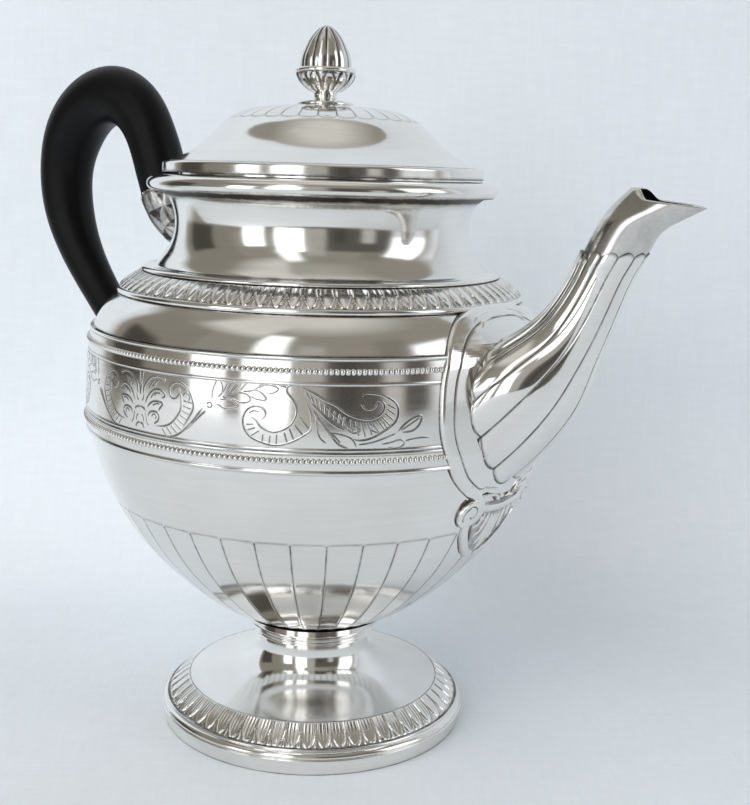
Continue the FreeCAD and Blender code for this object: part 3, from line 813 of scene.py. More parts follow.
@dataclass(frozen=True)
class ClothFinish:
    """Pale woven cloth that shows its front only.

    Attributes:
        light: colour of the raised threads.
        shade: colour between the threads.
        threads: scale of the weave.
        length: scale along a thread, as a share of the scale across it.
        mottle: scale of the uneven tone.
        roughness: roughness of the threads.
        specular: level of the mirror reflection.
        depth: depth of the weave in metres.
    """

    light: Colour = (0.885, 0.93, 0.98, 1.0)
    shade: Colour = (0.80, 0.845, 0.895, 1.0)
    threads: float = 640.0
    length: float = 0.12
    mottle: float = 14.0
    roughness: float = 0.95
    specular: float = 0.1
    depth: float = 0.0008

    def material(self, azimuth: float) -> Material:
        """Make the material.

        Args:
            azimuth: bearing of the threads that run level, in degrees.

        Returns:
            The material.
        """
        material, graph, shader = new_material("cloth")
        place = graph.place()
        turned = graph.stretch(place, (1.0, 1.0, 1.0), -math.radians(azimuth))
        ways = (self.length, 1.0, 1.0), (1.0, self.length, self.length)
        weave = [graph.noise(graph.stretch(turned, way), self.threads, 3.0) for way in ways]
        threads = graph.math("MULTIPLY", graph.math("ADD", *weave), 0.5)
        raised = graph.math("MULTIPLY_ADD", threads, 1.3, -0.4)
        mask = graph.math("MULTIPLY_ADD", graph.noise(place, self.mottle, 3.0), 0.6, raised, clamp=True)
        back = graph.add("ShaderNodeNewGeometry").outputs["Backfacing"]
        graph.feed(shader, {
            "Base Color": graph.mix(mask, self.shade, self.light),
            "Normal": graph.bump(threads, 0.25, self.depth),
            "Alpha": graph.math("SUBTRACT", 1.0, back),
            "Roughness": self.roughness,
            "Specular IOR Level": self.specular,
        })
        return material


@dataclass
class Maker:
    """Adds finished pieces to the frame.

    Attributes:
        silver: finish of the metal.
        wood: finish of the handle.
        made: names of the pieces added.
    """

    silver: Material
    wood: Material
    made: List[str] = field(default_factory=list)

    def add(self, sheet: Sheet, name: str, body: Body, nodes: Sequence[str] = (),
            slot: Slot = Slot.SILVER) -> None:
        """Add one piece in place of solids.

        Args:
            sheet: surface of the piece.
            name: name of the piece.
            body: body that it rides.
            nodes: solids that it stands in for.
            slot: its material slot.
        """
        material = self.silver if slot is Slot.SILVER else self.wood
        piece = sheet.build("vis_" + name, material)
        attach(piece, body.value)
        if nodes:
            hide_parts(*nodes)
        self.made.append(piece.name)

    def turn(self, body: Body, pieces: Dict[str, Turned]) -> None:
        """Add turned pieces, each in place of the solid of its name.

        Args:
            body: body that they ride.
            pieces: turned pieces by name.
        """
        for name, turned in pieces.items():
            self.add(turned.sheet(), name, body, [name])


@dataclass(frozen=True)
class Flutes:
    """Shallow flutes with sharp edges between them and scalloped ends.

    Attributes:
        count: number of flutes.
        phase: angle of one edge, in degrees.
        end: distance along the outline where the flutes stop, in millimetres of the measure used.
        depth: depth in the middle of a flute.
        scallop: how far the middle of an end reaches past its corners.
        by_radius: whether ends are measured by radius instead of height.
        line: width of the dark line along an edge.
        cut: depth of that line.
        run: length over which an end runs out.
        brim: width of the dark line along an end.
    """

    count: int
    phase: float
    end: float
    depth: float
    scallop: float
    by_radius: bool = False
    line: float = 0.2
    cut: float = 0.08
    run: float = 1.6
    brim: float = 0.28

    def relief(self, theta: Grid, profile: Grid) -> Tuple[Grid, Grid]:
        """Heights and cavity values: a parabola across each flute that ends along a half ellipse.

        Args:
            theta: angles shaped rows, 1.
            profile: radius and height of the outline.

        Returns:
            Heights and cavity values shaped rows, columns.
        """
        radius = profile[None, :, 0]
        measure = radius if self.by_radius else profile[None, :, 1]
        across = cell(theta, self.count, math.radians(self.phase))
        hollow = 1 - (2 * across) ** 2
        tip = self.end + self.scallop * np.sqrt(hollow)
        inside = soft(0.0, self.run, tip - measure)
        pitch = TURN * radius / self.count
        edge = (0.5 - np.abs(across)) * pitch
        line = ridge(edge, self.line) * soft(-0.3, 0.3, self.end - measure)
        brim = ridge(tip - measure, self.brim)
        depth = self.depth * np.clip(pitch / pitch.max(), 0.0, 1.0)
        raised = -depth * inside * hollow - self.cut * line
        return raised, np.clip(0.85 * line + 0.45 * brim, 0.0, 1.0)


@dataclass(frozen=True)
class LeafBorder:
    """Border of round-tipped leaves with raised edges, whose tips point to the start of the outline.

    Attributes:
        count: number of leaves.
        height: how far a leaf stands out.
        phase: angle of one gap, in degrees.
        ribs: ribs across half a leaf.
        tarnish: strength of the tarnish between the leaves.
        tip: share of the outline that the round tips take up.
        broad: widest part of a leaf, as a share of the pitch.
        brim: width of the raised edge, as a share of half the pitch.
    """

    count: int
    height: float
    phase: float
    ribs: float
    tarnish: float
    tip: float = 0.62
    broad: float = 0.97
    brim: float = 0.12

    def relief(self, theta: Grid, profile: Grid) -> Tuple[Grid, Grid]:
        """Heights and cavity values: leaves with a bell-shaped brim, cosine ribs and a dart in each gap.

        Args:
            theta: angles shaped rows, 1.
            profile: radius and height of the outline.

        Returns:
            Heights and cavity values shaped rows, columns.
        """
        share = np.linspace(0.0, 1.0, len(profile))[None, :]
        across = 2 * np.abs(cell(theta, self.count, math.radians(self.phase)))
        tip = np.clip(1 - share / self.tip, 0.0, 1.0)
        half = self.broad * np.sqrt(1 - tip ** 1.7)
        inside = soft(-0.07, 0.07, half - across)
        brim = ridge(half - across - self.brim, self.brim)
        ribbed = 0.5 + 0.5 * np.cos(TURN * self.ribs * across / np.maximum(half, 0.3))
        fade = soft(0.12, 0.35, share) * (1 - brim)
        dart = ridge(1 - across, 0.16) * soft(0.4, 0.15, share)
        ends = soft(0.0, 0.05, share) * soft(1.0, 0.94, share)
        leaf = inside * (0.55 + 0.45 * brim + 0.28 * fade * (ribbed - 0.5))
        raised = ends * self.height * (leaf + 0.5 * dart * (1 - inside))
        darkness = self.tarnish * ((1 - inside) * (1 - 0.7 * dart) + inside * fade * 0.7 * (1 - ribbed) ** 3)
        return raised, np.clip(darkness * soft(0.0, 0.06, share) * soft(1.0, 0.95, share), 0.0, 1.0)


class Profiles:
    """Outlines that turned pieces share where they meet, each running upwards.

    Attributes:
        BOWL: bowl from the collar to the band.
        BAND: belly band.
        SHOULDER: shoulder above the band.
        LEAF: leaf band on the shoulder.
        THROAT: narrowest place of the neck.
        NECK: hollow neck.
        LID: lid from its flange to the finial.
        BODY: the body's outside, from the collar to the neck.
    """

    BOWL: Grid = outline(
        (BOWL_FOOT_R, Z_COLLAR), (BAND_R - 1.0, Z_BOWL),
        ((0.0, 0.0), (0.145, 0.054), (0.33, 0.152), (0.538, 0.301), (0.703, 0.449),
         (0.822, 0.597), (0.91, 0.745), (0.968, 0.893), (1.0, 1.0)), 136)
    BAND: Grid = outline(
        (BAND_R, Z_BOWL), (BAND_TOP_R, Z_BAND), ((0, 0), (0, 0.3), (0.35, 0.7), (1, 1)), 240)
    SHOULDER: Grid = outline(
        (SHOULDER_R, Z_BAND), (SHOULDER_TOP_R, Z_SHOULDER),
        ((0, 0), (0.13, 0.2), (0.32, 0.45), (0.58, 0.7), (1, 1)), 60)
    LEAF: Grid = outline((LEAF_R, Z_FILLET), (LEAF_TOP_R, Z_LEAF), ((0, 0), (0.42, 0.5), (1, 1)), 34)
    THROAT: Pair = (NECK_R, Z_LEAF + 0.55 * (Z_NECK - Z_LEAF))
    NECK: Grid = spline(np.concatenate([
        between((NECK_BASE_R, Z_LEAF), THROAT, ((0, 0), (0.27, 0.09), (0.6, 0.34), (0.86, 0.62), (1, 1))),
        between(THROAT, (NECK_TOP_R, Z_NECK), ((0.14, 0.55), (0.52, 0.85), (1, 1)))]), 110)
    LID: Grid = outline(
        (LID_FOOT_R, Z_FLANGE), (STUD_R, Z_LID_TOP),
        ((0.0, 0.0), (0.125, 0.148), (0.257, 0.398), (0.37, 0.676), (0.477, 0.835), (0.716, 0.955),
         (1.0, 1.0)), 150)
    BODY: Grid = np.concatenate([BOWL, BAND[1:], SHOULDER[1:], LEAF])

    @classmethod
    def body_radius(cls, height: Grid, blur: float = 0.0) -> Grid:
        """Radius of the body at any height between the collar and the neck.

        Args:
            height: heights in millimetres.
            blur: span above and below each height over which the radius is averaged.

        Returns:
            Radii in millimetres.
        """
        radius, level = cls.BODY.T
        if not blur:
            return np.interp(height, level, radius)
        span = np.asarray(height)[..., None] + np.linspace(-blur, blur, 9)
        return np.interp(span, level, radius).mean(axis=-1)

    @classmethod
    def outside(cls, places: Grid, blur: float = 0.0) -> Grid:
        """Level distance of places from the body.

        Args:
            places: places with a last axis of 3.
            blur: span over which the body's radius is averaged.

        Returns:
            Distances, negative inside the body.
        """
        return np.hypot(places[..., 0], places[..., 1]) - cls.body_radius(places[..., 2], blur)


@dataclass
class Foot:
    """Base ring, leaf border, trumpet and collar.

    Attributes:
        border: leaves of the border.
        wall: wall of the border and the trumpet.
        ring_bore: radius of the hole in the base ring.
        collar_bore: radius of the hole in the collar.
        collar: radii, and heights above the stem, of the collar's turned members, with their samples.
    """

    border: LeafBorder = LeafBorder(60, 0.34, 3.45, 2.0, 0.28)
    wall: float = 1.2
    ring_bore: float = 43.9
    collar_bore: float = 14.5
    collar: Tuple[Tuple[int, Line], ...] = (
        (14, ((17.6, 0.0), (18.6, 0.25), (18.95, 0.65), (18.6, 1.05))),
        (10, ((18.6, 1.1), (18.85, 1.3), (18.9, 1.6), (18.65, 1.85))),
        (24, ((18.65, 1.9), (19.1, 2.6), (19.9, 3.4), (20.85, 4.0))),
        (24, ((20.75, 4.15), (21.3, 4.9), (22.0, 5.9), (22.7, 6.8))))

    def build(self, maker: Maker) -> None:
        """Add the pieces of the foot.

        Args:
            maker: adds the pieces.
        """
        wall = polyline([(46.9, 0.0), (47.95, 4.5)], 14)
        lip = spline([(48.0, 4.56), (47.98, 4.75), (47.78, 4.9)], 8)
        edge = spline([(47.55, 4.95), (47.78, 5.4), (47.62, 6.0), (47.1, 6.55), (46.6, 6.8)], 24)
        bead = spline([(46.35, 6.86), (46.55, 7.1), (46.45, 7.4), (46.1, 7.6)], 10)
        band = outline((FOOT_LEAF_R, Z_FOOT_RING), (FOOT_DOME_R, Z_FOOT_LEAF),
                       ((0, 0), (0.45, 0.52), (1, 1)), 40)
        dome = outline((FOOT_DOME_R, Z_FOOT_LEAF), (STEM_R, Z_STEM),
                       ((0.0, 0.0), (0.4, 0.09), (0.76, 0.27), (0.94, 0.52), (1.0, 0.8), (0.995, 1.0)), 120)
        ring = np.concatenate([wall, lip, edge, bead])
        collar = np.concatenate([spline(np.array(line) + (0.0, Z_STEM), count)
                                 for count, line in self.collar])
        maker.turn(Body.POT, {
            # The foot ring's lower seam darkening is a painted contact shadow where the ring meets the cloth.
            "foot_ring": Turned(ring, bore(self.ring_bore, 0.0, Z_FOOT_RING), seam_tarnish_and_shade=(0.25, 0.15)),
            "foot_leaf_band": Turned(band, inward(band, self.wall), 1440, self.border.relief, (0.0, 0.12)),
            "foot_dome": Turned(dome, inward(dome, self.wall), 300, seam_tarnish_and_shade=(0.12, 0.3)),
            "stem_collar": Turned(collar, bore(self.collar_bore, Z_STEM, Z_COLLAR), seam_tarnish_and_shade=(0.3, 0.1)),
        })


@dataclass
class Belly:
    """Bowl, band, wires, shoulder, neck and rim.

    Attributes:
        flutes: flutes under the bowl.
        border: leaves of the shoulder's border.
        beads: beads on each wire.
        bead: radius of a bead.
        inset: distance of each wire from the band's edge.
        wall: wall of the bowl, the shoulder and the neck.
        band_wall: wall of the band.
        leaf_wall: wall of the shoulder's border.
        lines: levels of the raised lines on the band, with their heights and widths.
    """

    flutes: Flutes = Flutes(40, 4.5, 73.0, 0.34, 0.6)
    border: LeafBorder = LeafBorder(86, 0.36, 1.72, 1.0, 0.45)
    beads: int = 308
    bead: float = 0.86
    inset: float = 3.5
    wall: float = 1.0
    band_wall: float = 1.6
    leaf_wall: float = 1.2
    lines: Rows = (
        (94.9, 0.22, 0.35), (99.9, 0.12, 0.22), (100.9, 0.16, 0.25), (117.8, 0.14, 0.25), (124.1, 0.22, 0.3))

    def band_relief(self, theta: Grid, profile: Grid) -> Tuple[Grid, Grid]:
        """Raised lines round the band: a bell curve about each level, with tarnish along both sides.

        Args:
            theta: angles shaped rows, 1.
            profile: radius and height of the outline.

        Returns:
            Heights and cavity values shaped rows, columns.
        """
        height = profile[None, :, 1] + 0 * theta
        raised = sum(size * ridge(height - level, width) for level, size, width in self.lines)
        darkness = sum(0.6 * ridge(np.abs(height - level) - 1.7 * width, 0.16) for level, _, width in self.lines)
        return raised, np.clip(darkness, 0.0, 1.0)

    def wire(self, height: float) -> Sheet:
        """Ring of beads: a tube whose radius swells once per bead.

        Args:
            height: height of the wire.

        Returns:
            Closed sheet.
        """
        theta = np.linspace(0.0, TURN, self.beads * 10 + 1)[:, None]
        angle = np.linspace(0.0, TURN, 11)[None, :]
        swell = np.sqrt(np.clip(1 - (2 * cell(theta, self.beads)) ** 2, 0.02, 1.0))
        tube = self.bead * (0.25 + 0.75 * swell)
        radius = Profiles.body_radius(np.array(height)) - 0.05 + tube * np.cos(angle)
        points = np.stack([radius * np.cos(theta), radius * np.sin(theta), height + tube * np.sin(angle)], -1)
        return Sheet(points, np.clip(1.5 * (1 - swell) - 0.3, 0.0, 1.0) + 0 * angle)

    def build(self, maker: Maker) -> None:
        """Add the pieces of the belly.

        Args:
            maker: adds the pieces.
        """
        floor = Z_COLLAR + self.wall
        inside = inward(Profiles.BOWL, self.wall)
        inside = np.concatenate([[(0.0, floor)], inside[inside[:, 1] > floor][::4], inside[-1:]])
        bowl = np.concatenate([[(0.0, Z_COLLAR)], Profiles.BOWL])
        band, shoulder, leaf, neck = Profiles.BAND, Profiles.SHOULDER, Profiles.LEAF, Profiles.NECK
        fillet = spline([(60.3, Z_SHOULDER), (60.75, 134.5), (60.8, 135.0), (60.45, 135.6),
                         (60.0, Z_FILLET)], 18)
        ring = spline([(53.2, Z_LEAF), (53.65, 141.0), (53.2, 141.7), (52.2, 142.05), (51.2, 142.0)], 20)
        outer = np.concatenate([ring, neck[neck[:, 1] > 142.1]])
        inner = np.concatenate([[(50.5, Z_LEAF)], inward(neck, self.wall)[8::4],
                                [(NECK_TOP_R - self.wall, Z_NECK)]])
        rim = spline([(RIM_FOOT_R, Z_NECK), (51.77, 164.49), (RIM_R, 165.71), (51.19, 167.4),
                      (RIM_TOP_R, Z_RIM)], 50)
        lip = polyline([(RIM_TOP_R, Z_RIM), (MOUTH_R, Z_RIM)], 4)[1:]
        under = polyline([(46.6, Z_NECK), (46.6, Z_RIM - 1.5), (MOUTH_R, Z_RIM - 1.5)], 3)
        flutes = self.flutes
        maker.turn(Body.POT, {
            "bowl": Turned(bowl, inside, 520, flutes.relief, (0.0, 0.35), flutes.count, flutes.phase),
            "belly_band": Turned(band, inward(band, self.band_wall)[::12], 320, self.band_relief),
        })
        for name, height in (("lower_bead_wire", Z_BOWL + self.inset),
                             ("upper_bead_wire", Z_BAND - self.inset)):
            maker.add(self.wire(height), name, Body.POT, [name])
        maker.turn(Body.POT, {
            "shoulder": Turned(shoulder, inward(shoulder, self.wall), 320, seam_tarnish_and_shade=(0.35, 0.4)),
            "shoulder_fillet": Turned(fillet, bore(56.4, Z_SHOULDER, Z_FILLET), 320, seam_tarnish_and_shade=(0.2, 0.25)),
            "shoulder_leaf_band": Turned(leaf, inward(leaf, self.leaf_wall), 1376, self.border.relief,
                                         (0.0, 0.15)),
            # The neck's upper seam and the rim's lower seam are darkened: tarnish and painted shade under the
            # rim's overhang.
            "neck": Turned(outer, inner, 320, seam_tarnish_and_shade=(0.3, 2.2)),
            "rim": Turned(np.concatenate([rim, lip]), under, 320, seam_tarnish_and_shade=(0.9, 0.0)),
        })


@dataclass
class Engraving:
    """Ornament of the band: palmettes with scrolls, laurel sprigs and leafy scrolls between them.

    Lines are given in degrees from the palmette's axis and millimetres above the band's middle.

    Attributes:
        axis: bearing of the palmette on the side of the camera, in degrees.
        scale: millimetres along the band in a degree.
        bold_cut: section of the bold lines.
        fine_cut: section of the fine lines.
        bold: outlines that are cut deeply.
        fine: lines that are cut lightly.
        hatches: pairs of edges and the number of strokes between them.
    """

    axis: float = -94.7
    scale: float = math.radians(BAND_R)
    bold_cut: Ribbon = Ribbon(0.37, 0.06, 0.8)
    fine_cut: Ribbon = Ribbon(0.28, 0.045, 0.75, samples=40)
    bold: Tuple[Line, ...] = (
        ((1.0, 1.5), (1.0, 3.2), (1.8, 5.0), (2.9, 6.3), (4.6, 7.1), (6.3, 7.0), (7.3, 6.3), (6.5, 5.8)),
        ((1.6, -0.7), (2.3, 1.1), (3.2, 2.5), (4.5, 3.5), (6.0, 3.7), (7.1, 3.0), (7.5, 2.3), (6.8, 1.7),
         (6.3, 2.0)),
        ((2.3, -1.7), (3.0, -0.6), (4.4, 0.4), (5.7, 0.5), (6.9, 0.1), (6.4, -0.9), (5.6, -2.1)),
        ((2.5, -4.2), (3.0, -2.9), (4.4, -2.3), (5.6, -2.7), (5.9, -3.9), (5.1, -5.1), (4.2, -5.6)),
        ((0.0, -1.7), (1.1, -1.9), (1.8, -2.6)), ((0.0, -6.0), (0.9, -6.3), (1.4, -7.4)),
        ((4.3, -5.9), (6.1, -5.9), (9.0, -4.9), (10.8, -2.8), (11.8, -0.8), (11.9, 1.8), (11.6, 3.4),
         (10.6, 2.2), (9.2, 2.2), (8.6, 3.7), (9.1, 5.4), (10.7, 6.4), (12.6, 5.8), (13.9, 4.4),
         (14.7, 2.5), (15.1, 0.4), (14.4, -1.7), (13.2, -4.0), (12.0, -6.3)),
        ((6.2, -8.6), (10.4, -7.8), (12.5, -6.2), (15.4, -2.6), (17.5, 0.8)),
        ((13.3, -5.8), (16.2, -2.3), (18.3, 0.1)),
        ((29.2, -0.9), (30.7, -1.0), (31.5, 0.3), (30.8, 1.8), (29.3, 2.2), (27.6, 1.3), (26.8, -0.3),
         (26.6, -2.4), (27.5, -4.9), (29.1, -6.3), (31.0, -7.1), (33.6, -7.6), (36.1, -7.0), (38.1, -5.9),
         (39.8, -4.6), (41.0, -3.3), (41.2, -1.0), (40.7, 1.8), (39.8, 3.8), (39.4, 4.6)),
        ((27.4, -1.0), (28.5, -0.7), (29.4, -1.4), (30.3, -2.8), (31.6, -3.8), (33.3, -4.2), (35.2, -3.5),
         (36.8, -2.2), (37.8, -0.1), (38.0, 1.7), (37.5, 3.5), (36.5, 5.2), (35.8, 6.4), (36.0, 7.4),
         (36.8, 7.9), (38.1, 7.8)),
        ((38.1, 7.8), (39.6, 7.1), (41.7, 5.9), (43.8, 4.4), (45.9, 3.2), (47.6, 1.7), (49.0, 0.7),
         (51.2, -0.2), (53.3, -0.4), (55.0, 0.3), (56.1, 1.6), (56.3, 3.1), (55.6, 4.1), (54.7, 4.2),
         (54.3, 3.1)),
        ((51.3, 4.5), (51.9, 6.0), (53.6, 6.2), (55.8, 5.7), (57.6, 4.6), (58.9, 3.3), (59.4, 1.4),
         (59.0, -0.9), (57.7, -2.6), (56.1, -3.8), (54.4, -5.0), (52.3, -5.8), (50.2, -5.7), (49.1, -4.9)),
        ((40.7, 3.8), (42.4, 1.9), (44.5, -0.6), (46.6, -2.4), (48.1, -3.2)),
        ((41.1, 2.3), (42.8, -0.9), (44.9, -4.2), (47.1, -7.2), (49.2, -8.0)),
        ((59.2, -4.2), (59.9, -3.2), (61.7, -1.3), (63.3, -0.3), (64.7, -0.2), (64.3, -2.2), (62.4, -3.9),
         (59.9, -4.0)),
    )
    fine: Tuple[Line, ...] = (
        ((2.6, 3.2), (3.2, 4.5), (4.3, 5.9)), ((3.5, 3.8), (4.4, 5.1), (5.7, 6.1)),
        ((4.0, 5.3), (4.6, 4.8), (4.1, 4.3)), ((3.3, 1.0), (4.2, 2.3), (5.2, 3.0)),
        ((4.3, 1.7), (5.1, 2.6), (6.2, 2.7)), ((3.9, -1.0), (4.9, -0.2), (6.1, -0.1)),
        ((3.7, -4.0), (4.4, -3.0), (5.1, -3.5), (4.7, -4.4)), ((0.5, -0.1), (1.0, 0.6), (1.1, 1.8)),
        ((0.5, -3.7), (1.1, -4.5), (1.2, -5.7)), ((1.8, -3.0), (2.0, -4.0), (2.3, -5.5), (3.0, -6.5)),
        ((0.1, 1.3), (0.2, 4.2), (0.5, 7.0), (0.6, 8.2)),
        ((12.2, 2.7), (13.2, 3.8), (14.0, 3.2), (13.8, 1.6)),
        ((19.5, 2.5), (19.6, 5.1), (20.2, 7.3), (20.9, 8.3), (21.7, 7.1), (21.9, 5.7), (21.4, 4.3),
         (20.7, 3.7)),
        ((20.7, 3.6), (22.1, 5.3), (23.0, 7.2), (24.1, 8.3)),
        ((23.7, 4.7), (25.1, 6.0), (25.8, 7.3), (26.1, 8.3)),
        ((22.9, 4.8), (23.8, 6.4), (24.5, 7.6), (25.5, 8.3)), ((25.9, 5.8), (26.7, 7.2), (27.8, 8.3)),
        ((26.3, 5.7), (28.5, 6.1), (29.7, 7.0), (30.6, 8.3)),
        ((29.7, 6.4), (30.7, 7.5), (32.2, 7.7), (34.0, 6.8), (33.0, 5.8), (31.6, 5.5)),
        ((24.6, 5.1), (26.3, 5.3), (27.8, 4.6), (28.1, 3.7), (27.1, 2.9), (25.7, 2.9), (24.2, 3.5),
         (22.1, 4.0), (23.1, 4.8)),
        ((20.8, 2.9), (22.4, 3.4), (24.2, 3.2), (25.5, 1.9), (24.0, 1.2), (22.2, 1.1), (20.9, 1.8),
         (20.0, 1.4)),
        ((27.8, 5.7), (29.4, 6.2), (30.7, 5.4), (31.5, 4.1), (30.0, 3.9), (28.5, 4.4), (27.8, 4.8)),
        ((18.3, 1.4), (18.7, 2.1), (19.4, 2.0), (19.5, 1.3), (18.9, 0.9), (18.3, 1.4)),
        ((34.1, 7.7), (35.3, 7.5), (36.0, 7.1)), ((31.0, -4.8), (30.8, -7.0)), ((32.5, -5.0), (32.3, -7.4)),
        ((33.9, -4.6), (33.8, -7.5)), ((35.4, -4.0), (36.1, -6.9)), ((36.4, -2.9), (37.5, -6.1)),
        ((37.4, -1.9), (39.4, -4.8)), ((38.4, 0.2), (40.6, -3.2)), ((27.3, -2.6), (29.0, -2.4)),
        ((27.5, -4.1), (29.4, -3.2)), ((28.2, -5.6), (30.3, -3.9)),
        ((51.3, 3.7), (52.4, 2.2), (54.1, 2.4), (54.8, 3.9)),
        ((42.0, 0.8), (42.2, -2.0), (42.9, -5.3), (44.4, -6.8)),
        ((47.0, 0.7), (48.0, -1.4), (49.1, -2.7), (50.4, -3.2)), ((43.8, 3.2), (45.5, 0.9), (47.0, -0.6)),
        ((44.9, -3.9), (48.1, -4.7), (49.6, -5.7), (50.6, -8.0)),
        ((48.5, -2.6), (50.1, -2.4), (51.2, -3.4), (49.5, -3.9), (48.5, -2.6)),
        ((52.9, -1.4), (54.2, -2.5), (55.1, -3.8), (53.5, -3.2), (52.9, -1.4)),
        ((56.1, -1.0), (57.2, -2.8), (58.1, -1.8)),
        ((50.6, -7.0), (53.4, -6.6), (56.6, -5.4), (59.2, -4.2)),
        ((59.9, -3.7), (62.2, -2.1), (64.7, -0.2)),
        ((55.5, -7.1), (58.8, -6.3), (60.2, -6.1), (60.9, -6.9), (60.0, -7.9), (56.9, -7.7)),
        ((60.8, -6.4), (64.1, -5.8), (66.9, -5.8)), ((9.6, 3.6), (10.2, 4.7), (11.4, 4.6), (11.6, 3.6)),
        ((27.8, 0.2), (28.9, 1.0), (30.2, 0.7)),
    )
    hatches: Tuple[Tuple[Line, Line, int], ...] = (
        (((6.8, -6.2), (9.2, -5.2), (11.1, -3.0), (12.2, -0.8), (12.4, 1.8)),
         ((8.0, -8.0), (11.2, -6.9), (13.0, -4.2), (14.4, -1.2), (14.8, 1.4)), 9),
        (((39.6, 6.4), (42.0, 4.8), (45.0, 2.6), (48.0, 0.4)),
         ((40.8, 4.4), (42.8, 2.0), (45.2, -0.4), (47.6, -2.2)), 9),
        (((49.2, -0.2), (51.4, -1.0), (53.4, -1.1), (55.4, -0.2), (56.8, 1.6), (57.0, 3.2)),
         ((49.6, -4.2), (51.8, -5.2), (54.2, -4.6), (56.6, -3.2), (58.4, -1.0), (58.9, 2.0)), 10),
        (((42.2, 0.4), (43.4, -1.8), (45.0, -3.6)),
         ((43.4, -2.4), (45.0, -4.8), (47.2, -6.6)), 5),
    )

    def strokes(self) -> List[Points]:
        """Short strokes across the scrolls: straight lines between equal shares of two edges.

        Returns:
            Two points per stroke.
        """
        pairs = [np.stack([spline(low, count), spline(high, count)], 1) for low, high, count in self.hatches]
        return list(np.concatenate(pairs))

    def chart(self, side: int, hand: int) -> Chart:
        """Chart of one quarter of the band.

        Args:
            side: 1 for the side of the camera and -1 for the far side.
            hand: 1 towards the spout and -1 towards the handle.

        Returns:
            Function that gives places over the band.
        """

        def places(arc: Grid, height: Grid, raised: Grid) -> Grid:
            """Places over the band.

            Args:
                arc: millimetres along the band from the palmette's axis.
                height: millimetres above the band's middle.
                raised: height over the band.

            Returns:
                Places with a last axis of 3.
            """
            bearing = side * np.radians(self.axis + hand * arc / self.scale)
            level = Z_MID + height + 0 * raised
            radius = Profiles.body_radius(level) + raised
            return np.stack([radius * np.cos(bearing), radius * np.sin(bearing), level], -1)

        return places

    def build(self, maker: Maker) -> None:
        """Add the ornament to both sides of the pot, each side mirrored about its palmette.

        Args:
            maker: adds the pieces.
        """
        cuts = (("bold", self.bold, self.bold_cut), ("fine", [*self.fine, *self.strokes()], self.fine_cut))
        for side, place in ((1, "near"), (-1, "far")):
            for hand, way in ((1, "spout"), (-1, "handle")):
                for cut, lines, ribbon in cuts:
                    scaled = [np.array(line) * (self.scale, 1.0) for line in lines]
                    sheet = ribbon.sheet(scaled, self.chart(side, hand))
                    maker.add(sheet, "_".join(("engraving", place, way, cut)), Body.POT)


